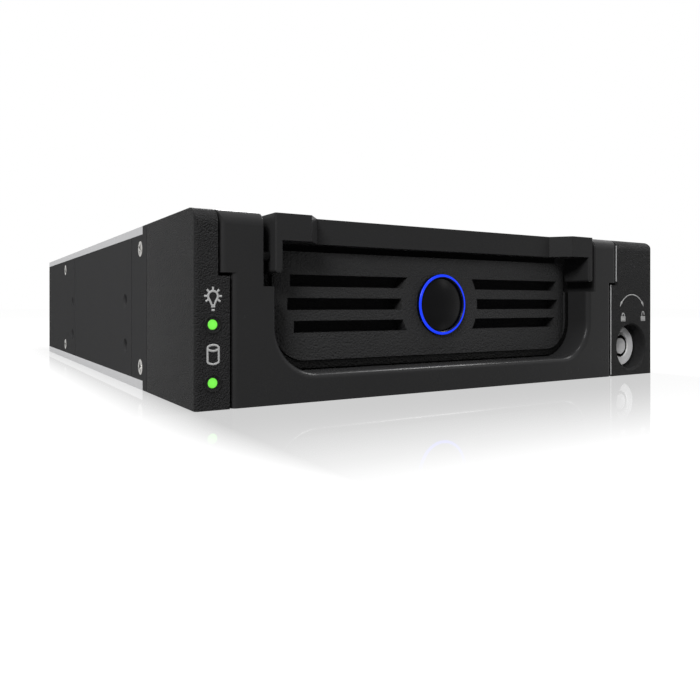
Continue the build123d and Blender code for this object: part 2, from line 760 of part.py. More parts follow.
with BuildPart() as tray_screws:
    head_y = tray_start + tray_sheet
    for side in sides:
        for z in tray_screw_z:
            screw_x = carrier_x + side * tray_screw_x
            rod(screw_x, z, screw_shank, tray_start - tray_screw_length, head_y)
            rod(screw_x, z, pan_head, head_y, head_y + pan_height)
save(tray_screws.part, "tray_screws")

# Guide rails: a web and a shelf with the groove for the tray's flange
groove_z = (tray_top - tray_sheet - groove_gap, tray_top + groove_gap)
for name, side in zip(("left", "right"), sides):
    inner_x = carrier_x + side * (tray_outer + guide_clear)
    groove_x = carrier_x + side * (tray_outer + tray_flange + groove_gap)
    outer_x = side * guide_face
    web_x = inner_x + side * guide_web
    screw_x = outer_x - side * guide_screw_inset
    with BuildPart() as guide_rail:
        with BuildSketch(front_plane(guide_start)):
            with BuildLine():
                Polyline(
                    (inner_x, sheet),
                    (outer_x, sheet),
                    (outer_x, sheet + guide_base),
                    (web_x, sheet + guide_base),
                    (web_x, guide_shelf),
                    (outer_x, guide_shelf),
                    (outer_x, guide_top),
                    (inner_x, guide_top),
                    (inner_x, groove_z[1]),
                    (groove_x, groove_z[1]),
                    (groove_x, groove_z[0]),
                    (inner_x, groove_z[0]),
                    close=True,
                )
            make_face()
        extrude(amount=-(guide_end - guide_start))
        board_hole = guide_end - bezel_screw_length
        rod(side * board_screw_x, board_screw_z, screw_shank, board_hole, guide_end, Mode.SUBTRACT)
        for y in guide_screw_y:
            with Locations((screw_x, front_y + y, sheet + guide_base / 2)):
                Cylinder(screw_shank, guide_base, mode=Mode.SUBTRACT)
    save(guide_rail.part, f"{name}_guide_rail")

# Backplane with the drive's connector in front and the plugs behind
with BuildPart() as backplane_board:
    with BuildSketch(front_plane(guide_end)):
        with Locations((0, mid_z)):
            Rectangle(2 * (guide_face - seat_gap), cage_height - 2 * sheet - 2 * seat_gap)
        with Locations((fan_x, mid_z)):
            Rectangle(fan_size - board_edge, fan_size - board_edge, mode=Mode.SUBTRACT)
        with Locations((dock_x, (board_screw_z + guide_top) / 2)):
            Rectangle(dock_width, 2 * board_edge, mode=Mode.SUBTRACT)
        for side in sides:
            with Locations((side * board_screw_x, board_screw_z)):
                Circle(screw_shank + running_gap, mode=Mode.SUBTRACT)
    extrude(amount=-board_thickness)
save(backplane_board.part, "backplane_board")
with BuildPart() as board_screws:
    for side in sides:
        rod(side * board_screw_x, board_screw_z, screw_shank, guide_end - bezel_screw_length, board_back)
        rod(side * board_screw_x, board_screw_z, pan_head, board_back, board_back + pan_height)
save(board_screws.part, "board_screws")


def plug_mouth(x, z, width, height, start, end):
    """Cuts the mouth of a connector and leaves the thin tongue that carries its contacts."""
    half_width = width / 2 - plug_wall
    half_height = height / 2 - plug_wall
    block((x - half_width, x + half_width), (start, end), (z - half_height, z + half_height), Mode.SUBTRACT)
    tongue = (x - half_width + plug_wall, x + half_width - plug_wall)
    block(tongue, (start, end), (z - plug_wall / 2, z + plug_wall / 2))


dock_low = tray_floor + tray_sheet + dock_lift
dock_mid = dock_low + dock_height / 2
with BuildPart() as dock_connector:
    dock_span = (dock_x - dock_width / 2, dock_x + dock_width / 2)
    block(dock_span, (dock_front, guide_end), (dock_low, dock_low + dock_height))
    power_mid = dock_x - dock_width / 2 + power_plug_width / 2 + plug_wall
    data_mid = dock_x + dock_width / 2 - data_plug_width / 2 - plug_wall
    plug_mouth(power_mid, dock_mid, power_plug_width, dock_height, dock_front, guide_end - plug_wall)
    plug_mouth(data_mid, dock_mid, data_plug_width, dock_height, dock_front, guide_end - plug_wall)
save(dock_connector.part, "dock_connector")
for name, x, width in (
    ("data", data_plug_x, data_plug_width),
    ("power", power_plug_x, power_plug_width),
):
    with BuildPart() as rear_plug:
        plug_end = board_back + plug_length
        plug_span = (plug_z - plug_height / 2, plug_z + plug_height / 2)
        block((x - width / 2, x + width / 2), (board_back, plug_end), plug_span)
        plug_mouth(x, plug_z, width, plug_height, board_back + 2 * plug_wall, plug_end)
    save(rear_plug.part, f"{name}_connector")

# Side rails: the black steel sides, with the bay's threaded holes
for name, side in zip(("left", "right"), sides):
    outline = [
        (bezel_depth, 0),
        (bezel_depth + collar_depth, 0),
        (bezel_depth + collar_depth, hem_bottom),
        (body_length, hem_bottom),
        (body_length, cage_height - hem_top),
        (bezel_depth + collar_depth, cage_height - hem_top),
        (bezel_depth + collar_depth, cage_height),
        (bezel_depth, cage_height),
    ]
    hole_mid_y = front_y + bay_hole_y + bay_hole_pitch_y / 2
    hole_mid_z = bay_hole_z + bay_hole_pitch_z / 2
    outer_plane = Plane(origin=(side * bay_width / 2, 0, 0), x_dir=(0, side, 0), z_dir=(side, 0, 0))
    with BuildPart() as side_rail:
        with BuildSketch(Plane.YZ.offset(side * inner_face)):
            with Locations((front_y, 0)):
                Polygon(*outline, align=None)
        extrude(amount=side * rail_thickness)
        flange_x = sorted((side * inner_face, carrier_x + side * (neck_clear + neck_gap)))
        block(flange_x, (bezel_depth, bezel_depth + tray_sheet), (2 * sheet, cage_height - 2 * sheet))
        with BuildSketch(Plane.YZ.offset(side * inner_face)):
            with Locations((hole_mid_y, hole_mid_z)):
                with GridLocations(bay_hole_pitch_y, bay_hole_pitch_z, 2, 2):
                    Circle(bay_collar_radius)
        extrude(amount=-side * bay_collar)
        with BuildSketch(Plane.YZ.offset(side * bay_width / 2)):
            with Locations((hole_mid_y, hole_mid_z)):
                with GridLocations(bay_hole_pitch_y, bay_hole_pitch_z, 2, 2):
                    Circle(bay_hole_radius)
        extrude(amount=-side * (rail_thickness + bay_collar), mode=Mode.SUBTRACT)
        mouths = side_rail.edges().filter_by(GeomType.CIRCLE).group_by(Axis.X)
        chamfer(mouths[0 if side < 0 else -1], bay_hole_mouth)
        for y in rail_groove_y:
            groove_x = sorted((side * bay_width / 2, side * (bay_width / 2 - rail_groove)))
            groove_y = (y - rail_groove / 2, y + rail_groove / 2)
            block(groove_x, groove_y, (hem_bottom, cage_height - hem_top), Mode.SUBTRACT)
        with Locations(outer_plane):
            for y in side_screw_y:
                for z in (side_screw_top, side_screw_bottom):
                    with Locations((side * (front_y + y), z)):
                        CounterSinkHole(screw_shank + running_gap, screw_head, rail_thickness)
        screw_x = carrier_x + side * bezel_screw_x
        for z in bezel_screw_z:
            rod(screw_x, z, screw_shank + running_gap, bezel_depth, bezel_depth + tray_sheet, Mode.SUBTRACT)
    save(side_rail.part, f"{name}_side_rail")
with BuildPart() as bezel_screws:
    head_y = bezel_depth + tray_sheet
    for side in sides:
        for z in bezel_screw_z:
            screw_x = carrier_x + side * bezel_screw_x
            rod(screw_x, z, screw_shank, bezel_depth - bezel_screw_length, head_y)
            rod(screw_x, z, pan_head, head_y, head_y + pan_height)
save(bezel_screws.part, "bezel_screws")

# Covers: aluminium sheets with hemmed edges outside and a flange inside each side rail
cover_start = bezel_depth + collar_depth
for name, face, inwards, hem, screw_z in (
    ("top", cage_height, -1, hem_top, side_screw_top),
    ("bottom", 0, 1, hem_bottom, side_screw_bottom),
):
    with BuildPart() as cover:
        with BuildSketch(Plane.XY.offset(face)):
            with Locations((0, front_y + (cover_start + body_length) / 2)):
                Rectangle(bay_width, body_length - cover_start)
            with Locations((0, front_y + (bezel_depth + cover_start) / 2)):
                Rectangle(2 * inner_face, collar_depth)
        extrude(amount=inwards * sheet)
        for side in sides:
            hem_x = sorted((side * inner_face, side * bay_width / 2))
            block(hem_x, (cover_start, body_length), sorted((face + inwards * sheet, face + inwards * hem)))
            flange_x = sorted((side * inner_face, side * (inner_face - sheet)))
            flange_z = sorted((face + inwards * sheet, face + inwards * cover_flange))
            block(flange_x, (cover_start, rear_face), flange_z)
            for y in side_screw_y:
                cross_rod(flange_x[0], flange_x[1], y, screw_z, screw_shank, Mode.SUBTRACT)
        # countersunk holes for the rear panel's screws, and in the underside for the guides' screws
        outside = Plane(origin=(0, front_y, face), x_dir=(1, 0, 0), z_dir=(0, 0, -inwards))
        with Locations(outside):
            for side in sides:
                with Locations((side * rear_screw_x, -inwards * rear_screw_depth)):
                    CounterSinkHole(screw_shank + running_gap, screw_head, sheet)
                guide_screw_x = side * (guide_face - guide_screw_inset)
                if face == 0:
                    for y in guide_screw_y:
                        with Locations((guide_screw_x, -inwards * y)):
                            CounterSinkHole(screw_shank + running_gap, screw_head, sheet)
    save(cover.part, f"{name}_cover")


def countersunk_screw(plane, x, y, length):
    """A flat-headed screw flush with a plane, pointing into it."""
    taper = screw_head - screw_shank
    with BuildPart(mode=Mode.PRIVATE) as screw:
        Cone(screw_shank, screw_head, taper, align=(Align.CENTER, Align.CENTER, Align.MAX))
        Cylinder(screw_shank, length, align=(Align.CENTER, Align.CENTER, Align.MAX))
    return plane.location * Pos(x, y, 0) * screw.part


with BuildPart() as side_screws:
    for side in sides:
        outer_plane = Plane(origin=(side * bay_width / 2, front_y, 0), x_dir=(0, side, 0), z_dir=(side, 0, 0))
        for y in side_screw_y:
            for z in (side_screw_top, side_screw_bottom):
                add(countersunk_screw(outer_plane, side * y, z, side_screw_length))
save(side_screws.part, "side_screws")
with BuildPart() as rear_screws:
    for face, upwards in ((cage_height, 1), (0, -1)):
        outside = Plane(origin=(0, front_y, face), x_dir=(1, 0, 0), z_dir=(0, 0, upwards))
        for side in sides:
            add(countersunk_screw(outside, side * rear_screw_x, upwards * rear_screw_depth, 2 * sheet))
save(rear_screws.part, "rear_screws")
with BuildPart() as guide_screws:
    outside = Plane(origin=(0, front_y, 0), x_dir=(1, 0, 0), z_dir=(0, 0, -1))
    for side in sides:
        for y in guide_screw_y:
            add(countersunk_screw(outside, side * (guide_face - guide_screw_inset), -y, guide_screw_length))
save(guide_screws.part, "guide_screws")

# Rear panel: flanged top and bottom, with the fan's grille and a window for the plugs
with BuildPart() as rear_panel:
    panel_half = inner_face - sheet - seat_gap
    with BuildSketch(front_plane(rear_face - sheet)):
        with Locations((0, mid_z)):
            Rectangle(2 * panel_half, cage_height - 2 * sheet)
        with Locations((fan_x, mid_z)):
            with GridLocations(fan_pitch, fan_pitch, 2, 2):
                Circle(fan_hole, mode=Mode.SUBTRACT)
        with Locations(((plugs_low + plugs_high) / 2, plug_z)):
            Rectangle(plugs_high - plugs_low, plug_height + 2 * plug_window, mode=Mode.SUBTRACT)
    extrude(amount=-sheet)
    for ring in range(int((fan_duct + grille_bar) / grille_step)):
        ring_radius = fan_duct - ring * grille_step
        with BuildSketch(front_plane(rear_face - sheet)):
            with Locations((fan_x, mid_z)):
                Circle(ring_radius)
                Circle(ring_radius - grille_step + grille_bar, mode=Mode.SUBTRACT)
                with PolarLocations(0, 2):
                    Rectangle(grille_bar, 2 * fan_duct, mode=Mode.SUBTRACT)
                    Rectangle(2 * fan_duct, grille_bar, mode=Mode.SUBTRACT)
        extrude(amount=-sheet, mode=Mode.SUBTRACT)
    flange_span = (-panel_half + rear_flange, panel_half - rear_flange)
    for low in (sheet, cage_height - 2 * sheet):
        block(flange_span, (rear_face - rear_flange, rear_face - sheet), (low, low + sheet))
    for side in sides:
        with Locations((side * rear_screw_x, front_y + rear_screw_depth, mid_z)):
            Cylinder(screw_shank, cage_height, mode=Mode.SUBTRACT)
save(rear_panel.part, "rear_panel")

# Fan
strut_start = fan_start + fan_depth - strut_thickness
with BuildPart() as fan_frame:
    with BuildSketch(front_plane(fan_start)):
        with Locations((fan_x, mid_z)):
            RectangleRounded(fan_size, fan_size, fan_corner)
            Circle(fan_duct, mode=Mode.SUBTRACT)
            with GridLocations(fan_pitch, fan_pitch, 2, 2):
                Circle(fan_hole, mode=Mode.SUBTRACT)
    extrude(amount=-fan_depth)
    with BuildSketch(front_plane(strut_start)):
        with Locations((fan_x, mid_z)):
            Circle(hub_radius)
            Rectangle(2 * fan_duct + strut_width / 2, strut_width)
            Rectangle(strut_width, 2 * fan_duct + strut_width / 2)
    extrude(amount=-strut_thickness)
    bearing_start = strut_start + strut_thickness - bearing_length
    rod(fan_x, mid_z, bearing_tube, bearing_start, strut_start)
    rod(fan_x, mid_z, bearing_radius, bearing_start, fan_start + fan_depth, Mode.SUBTRACT)
save(fan_frame.part, "fan_frame")
with BuildPart() as fan_bearing:
    rod(fan_x, mid_z, bearing_radius, bearing_start, fan_start + fan_depth)
    rod(fan_x, mid_z, shaft_radius + running_gap, bearing_start, fan_start + fan_depth, Mode.SUBTRACT)
save(fan_bearing.part, "fan_bearing")
hub_front = fan_start + hub_start
hub_back = hub_front + hub_length
with BuildPart() as fan_shaft:
    rod(fan_x, mid_z, shaft_radius, hub_front + hub_wall, fan_start + fan_depth - seat_gap)
save(fan_shaft.part, "fan_shaft")


def blade_section(radius, chord, pitch):
    """Cross-section of a blade, square to the radius that points up."""
    plane = Plane(origin=(0, 0, radius), x_dir=(1, 0, 0), z_dir=(0, 0, 1))
    with BuildSketch(plane) as section:
        Rectangle(chord, blade_thickness, rotation=pitch)
    return section.sketch


with BuildPart() as fan_rotor:
    rod(fan_x, mid_z, hub_radius, hub_front, hub_back)
    rod(fan_x, mid_z, hub_radius - hub_wall, hub_front + hub_wall, hub_back, Mode.SUBTRACT)
    rod(fan_x, mid_z, shaft_radius + hub_wall, hub_front + hub_wall, bearing_start - seat_gap)
    rod(fan_x, mid_z, shaft_radius, hub_front + hub_wall, hub_back, Mode.SUBTRACT)
    root = blade_section(hub_radius - hub_wall / 2, blade_root_chord, blade_root_pitch)
    tip = blade_section(blade_tip, blade_tip_chord, blade_tip_pitch)
    blade = loft([root.face(), tip.face()], mode=Mode.PRIVATE)
    for index in range(blade_count):
        turn = Rot(0, index * 360 / blade_count, 0)
        add(Pos(fan_x, front_y + (hub_front + hub_back) / 2, mid_z) * turn * blade)
save(fan_rotor.part, "fan_rotor")
with BuildPart() as fan_screws:
    for x in (fan_x - fan_pitch / 2, fan_x + fan_pitch / 2):
        for z in (mid_z - fan_pitch / 2, mid_z + fan_pitch / 2):
            rod(x, z, fan_hole, fan_start + seat_gap, rear_face)
            rod(x, z, pan_head + seat_gap, rear_face, rear_face + pan_height)
save(fan_screws.part, "fan_screws")
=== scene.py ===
import json
from math import cos, radians, sin

import bmesh
import bpy
from mathutils import Matrix, Vector


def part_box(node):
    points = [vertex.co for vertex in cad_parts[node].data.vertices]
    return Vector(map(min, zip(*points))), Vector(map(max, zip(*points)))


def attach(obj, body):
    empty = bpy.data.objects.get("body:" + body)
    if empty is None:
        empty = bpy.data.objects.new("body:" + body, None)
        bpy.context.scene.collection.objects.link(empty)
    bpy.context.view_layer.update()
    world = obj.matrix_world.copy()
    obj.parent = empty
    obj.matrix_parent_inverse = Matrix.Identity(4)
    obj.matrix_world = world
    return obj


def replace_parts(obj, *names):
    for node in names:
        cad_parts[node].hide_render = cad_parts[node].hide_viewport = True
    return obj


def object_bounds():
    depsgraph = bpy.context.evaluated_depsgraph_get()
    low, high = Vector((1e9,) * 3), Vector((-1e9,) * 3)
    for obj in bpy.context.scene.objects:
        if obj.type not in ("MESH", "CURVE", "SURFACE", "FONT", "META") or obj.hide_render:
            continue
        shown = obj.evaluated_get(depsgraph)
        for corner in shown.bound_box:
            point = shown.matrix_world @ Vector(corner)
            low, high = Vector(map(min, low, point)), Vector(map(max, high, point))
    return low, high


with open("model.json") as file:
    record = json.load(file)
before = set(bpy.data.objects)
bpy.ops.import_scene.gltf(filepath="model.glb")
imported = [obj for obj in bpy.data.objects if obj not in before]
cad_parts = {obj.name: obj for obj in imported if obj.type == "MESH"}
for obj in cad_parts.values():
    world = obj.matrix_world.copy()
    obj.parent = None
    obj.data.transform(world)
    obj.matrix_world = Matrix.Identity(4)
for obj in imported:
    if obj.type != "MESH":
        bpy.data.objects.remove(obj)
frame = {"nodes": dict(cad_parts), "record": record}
cadBox = [list(corner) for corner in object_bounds()]
mm = 0.001
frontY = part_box("front_bezel")[0].y  # the cage's front face
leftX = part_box("front_bezel")[0].x
print("frame loaded,", len(frame["nodes"]), "nodes")


def newGroup(name, inputs, outputs):
    group = bpy.data.node_groups.new(name, "ShaderNodeTree")
    for label, kind, value in inputs:
        group.interface.new_socket(label, in_out="INPUT", socket_type=kind).default_value = value
    for label, kind in outputs:
        group.interface.new_socket(label, in_out="OUTPUT", socket_type=kind)
    return group, group.nodes.new("NodeGroupInput"), group.nodes.new("NodeGroupOutput")


def addNode(tree, kind, **settings):
    node = tree.nodes.new(kind)
    for key, value in settings.items():
        setattr(node, key, value)
    return node


def mathNode(tree, operation, a, b=0, clamp=False):
    node = addNode(tree, "ShaderNodeMath", operation=operation, use_clamp=clamp)
    for socket, value in zip(node.inputs, (a, b)):
        if isinstance(value, (int, float)):
            socket.default_value = value
        else:
            tree.links.new(value, socket)
    return node.outputs[0]


def noise(tree, vector, scale, detail=2.0, roughness=0.5):
    node = addNode(tree, "ShaderNodeTexNoise")
    tree.links.new(vector, node.inputs["Vector"])
    node.inputs["Detail"].default_value = detail
    node.inputs["Roughness"].default_value = roughness
    if isinstance(scale, (int, float)):
        node.inputs["Scale"].default_value = scale
    else:
        tree.links.new(scale, node.inputs["Scale"])
    return node.outputs["Fac"]


# moulded grain: small rounded cells with a finer tooth between them
grainLook = {"smoothness": 0.6, "toothScale": 2.3, "toothDetail": 3.0, "toothPart": 0.5}
grainGroup, gIn, gOut = newGroup(
    "mouldedGrain",
    [("Cells per metre", "NodeSocketFloat", 1600.0)],
    [("Height", "NodeSocketFloat"), ("Hollows", "NodeSocketFloat")],
)
coords = addNode(grainGroup, "ShaderNodeTexCoord").outputs["Object"]
cells = addNode(grainGroup, "ShaderNodeTexVoronoi", feature="SMOOTH_F1")
cells.inputs["Smoothness"].default_value = grainLook["smoothness"]
grainGroup.links.new(coords, cells.inputs["Vector"])
grainGroup.links.new(gIn.outputs[0], cells.inputs["Scale"])
toothScale = mathNode(grainGroup, "MULTIPLY", gIn.outputs[0], grainLook["toothScale"])
tooth = noise(grainGroup, coords, toothScale, grainLook["toothDetail"])
toothPart = mathNode(grainGroup, "MULTIPLY", tooth, grainLook["toothPart"])
grainHeight = mathNode(grainGroup, "SUBTRACT", toothPart, cells.outputs["Distance"])
grainGroup.links.new(grainHeight, gOut.inputs[0])
grainGroup.links.new(cells.outputs["Distance"], gOut.inputs[1])

# handling: slow cloudy changes of gloss with a few finer rubs
cloudLook = {"scale": 45.0, "detail": 5.0, "roughness": 0.6, "part": 0.7}
rubLook = {"scale": 420.0, "detail": 3.0, "roughness": 0.7, "part": 0.3}
handledGroup, hIn, hOut = newGroup(
    "handledGloss",
    [("Roughness", "NodeSocketFloat", 0.4), ("Spread", "NodeSocketFloat", 0.1)],
    [("Roughness", "NodeSocketFloat"), ("Cloud", "NodeSocketFloat")],
)
coords = addNode(handledGroup, "ShaderNodeTexCoord").outputs["Object"]
layers = []
for look in (cloudLook, rubLook):
    layer = noise(handledGroup, coords, look["scale"], look["detail"], look["roughness"])
    layers.append(mathNode(handledGroup, "MULTIPLY", layer, look["part"]))
mixed = mathNode(handledGroup, "ADD", *layers)
centred = mathNode(handledGroup, "SUBTRACT", mixed, 0.5)
offCentre = mathNode(handledGroup, "MULTIPLY", centred, hIn.outputs["Spread"])
changed = mathNode(handledGroup, "ADD", hIn.outputs["Roughness"], offCentre, True)
handledGroup.links.new(changed, hOut.inputs[0])
handledGroup.links.new(mixed, hOut.inputs[1])

# rolled metal: streaks along the sheet's length and fine specks of plating
speckLook = {"scale": 900.0, "detail": 4.0, "roughness": 0.75}
rolledGroup, rIn, rOut = newGroup(
    "rolledStreaks",
    [("Across", "NodeSocketFloat", 2400.0), ("Along", "NodeSocketFloat", 25.0)],
    [("Height", "NodeSocketFloat"), ("Specks", "NodeSocketFloat")],
)
coords = addNode(rolledGroup, "ShaderNodeTexCoord").outputs["Object"]
stretch = addNode(rolledGroup, "ShaderNodeVectorMath", operation="MULTIPLY")
scales = addNode(rolledGroup, "ShaderNodeCombineXYZ")
for socket, source in zip(scales.inputs, ("Across", "Along", "Across")):
    rolledGroup.links.new(rIn.outputs[source], socket)
rolledGroup.links.new(coords, stretch.inputs[0])
rolledGroup.links.new(scales.outputs[0], stretch.inputs[1])
rolledGroup.links.new(noise(rolledGroup, stretch.outputs[0], 1.0), rOut.inputs[0])
rolledGroup.links.new(noise(rolledGroup, coords, *speckLook.values()), rOut.inputs[1])


def newMaterial(name):
    material = bpy.data.materials.new(name)
    material.use_nodes = True
    tree = material.node_tree
    return material, tree, tree.nodes["Principled BSDF"]


def objectPlace(tree):
    split = addNode(tree, "ShaderNodeSeparateXYZ")
    tree.links.new(addNode(tree, "ShaderNodeTexCoord").outputs["Object"], split.inputs[0])
    return split.outputs


def lengthOf(tree, a, b):
    squares = [mathNode(tree, "MULTIPLY", side, side) for side in (a, b)]
    return mathNode(tree, "SQRT", mathNode(tree, "ADD", *squares))


def placeGroup(tree, group, **values):
    node = addNode(tree, "ShaderNodeGroup", node_tree=group)
    for key, value in values.items():
        node.inputs[key.replace("_", " ")].default_value = value
    return node


def shade(tree, factor, dark, light, target):
    mix = addNode(tree, "ShaderNodeMix", data_type="RGBA")
    mix.inputs["A"].default_value = (*dark, 1)
    mix.inputs["B"].default_value = (*light, 1)
    tree.links.new(factor, mix.inputs["Factor"])
    tree.links.new(mix.outputs["Result"], target)


def bump(tree, height, distance, target):
    node = addNode(tree, "ShaderNodeBump")
    node.inputs["Strength"].default_value = 1
    node.inputs["Distance"].default_value = distance
    tree.links.new(height, node.inputs["Height"])
    tree.links.new(node.outputs[0], target)


def mouldedPlastic(name, colour, spread, roughness, gloss, cells, depth, specular=0.5):
    material, tree, shader = newMaterial(name)
    grain = placeGroup(tree, grainGroup, Cells_per_metre=cells)
    handled = placeGroup(tree, handledGroup, Roughness=roughness, Spread=gloss)
    light = [channel * (1 + spread) for channel in colour]
    dark = [channel * (1 - spread) for channel in colour]
    shade(tree, handled.outputs["Cloud"], dark, light, shader.inputs["Base Color"])
    tree.links.new(handled.outputs["Roughness"], shader.inputs["Roughness"])
    bump(tree, grain.outputs["Height"], depth, shader.inputs["Normal"])
    shader.inputs["Specular IOR Level"].default_value = specular
    return material


def rolledMetal(name, colour, spread, roughness, gloss, depth, metallic=1.0, across=2400.0, specular=0.5):
    material, tree, shader = newMaterial(name)
    streaks = placeGroup(tree, rolledGroup, Across=across)
    handled = placeGroup(tree, handledGroup, Roughness=roughness, Spread=gloss)
    light = [min(1, channel * (1 + spread)) for channel in colour]
    dark = [channel * (1 - spread) for channel in colour]
    shade(tree, streaks.outputs["Specks"], dark, light, shader.inputs["Base Color"])
    tree.links.new(handled.outputs["Roughness"], shader.inputs["Roughness"])
    bump(tree, streaks.outputs["Height"], depth, shader.inputs["Normal"])
    shader.inputs["Metallic"].default_value = metallic
    shader.inputs["Specular IOR Level"].default_value = specular
    return material


# a lit pipe: brighter and yellower in its middle than at its rim
def lampPlastic(name, lamp, z):
    material, tree, shader = newMaterial(name)
    across, _, up = objectPlace(tree)
    sideways = mathNode(tree, "SUBTRACT", across, lamp["x"] * mm)
    upward = mathNode(tree, "SUBTRACT", up, z * mm)
    outward = mathNode(tree, "DIVIDE", lengthOf(tree, sideways, upward), lamp["radius"] * mm, True)
    handled = placeGroup(tree, handledGroup, Roughness=lamp["roughness"], Spread=lamp["gloss"])
    rimColour = [channel * lamp["rimShade"] for channel in lamp["colour"]]
    shade(tree, outward, lamp["colour"], rimColour, shader.inputs["Base Color"])
    tree.links.new(handled.outputs["Roughness"], shader.inputs["Roughness"])
    fall = mathNode(tree, "POWER", outward, lamp["fall"])
    shade(tree, fall, lamp["middle"], lamp["rim"], shader.inputs["Emission Color"])
    shader.inputs["Emission Strength"].default_value = 1
    return material


# the vent panel's moulding, with painted shade: a near-black colour on the lip that frames it, where
# shade falls below the panel
def panelWithLipShade(name, panel, lipShade):
    tree = panel.node_tree
    across, _, up = objectPlace(tree)
    panel.name = name
    aside = mathNode(tree, "ABSOLUTE", mathNode(tree, "SUBTRACT", across, lipShade["middle"] * mm))
    out = mathNode(tree, "SUBTRACT", aside, (lipShade["half"] - lipShade["corner"]) * mm)
    down = mathNode(tree, "SUBTRACT", (lipShade["low"] + lipShade["corner"]) * mm, up)
    reach = lengthOf(tree, mathNode(tree, "MAXIMUM", out, 0), mathNode(tree, "MAXIMUM", down, 0))
    onLip = mathNode(tree, "GREATER_THAN", reach, lipShade["corner"] * mm)
    shader = tree.nodes["Principled BSDF"]
    plain = shader.inputs["Base Color"].links[0].from_socket
    mix = addNode(tree, "ShaderNodeMix", data_type="RGBA")
    mix.inputs["B"].default_value = (*lipShade["colour"], 1)
    tree.links.new(plain, mix.inputs["A"])
    tree.links.new(onLip, mix.inputs["Factor"])
    tree.links.new(mix.outputs["Result"], shader.inputs["Base Color"])
    return panel


# the ring glows only at its front, so that no light leaks behind the panel
def ringPlastic(name, ring):
    material, tree, shader = newMaterial(name)
    across, along, up = objectPlace(tree)
    sideways = mathNode(tree, "SUBTRACT", across, ring["middle"].x)
    upward = mathNode(tree, "SUBTRACT", up, ring["middle"].z)
    inside = mathNode(tree, "LESS_THAN", lengthOf(tree, sideways, upward), ring["inner"] * mm)
    behind = mathNode(tree, "GREATER_THAN", along, ring["front"] + ring["lit"] * mm)
    unlit = mathNode(tree, "MAXIMUM", behind, inside)
    handled = placeGroup(tree, handledGroup, Roughness=ring["roughness"], Spread=ring["gloss"])
    shade(tree, unlit, ring["colour"], ring["dark"], shader.inputs["Base Color"])
    tree.links.new(handled.outputs["Roughness"], shader.inputs["Roughness"])
    shade(tree, unlit, ring["glow"], (0, 0, 0), shader.inputs["Emission Color"])
    shader.inputs["Emission Strength"].default_value = 1
    shader.inputs["Specular IOR Level"].default_value = ring["specular"]
    return material


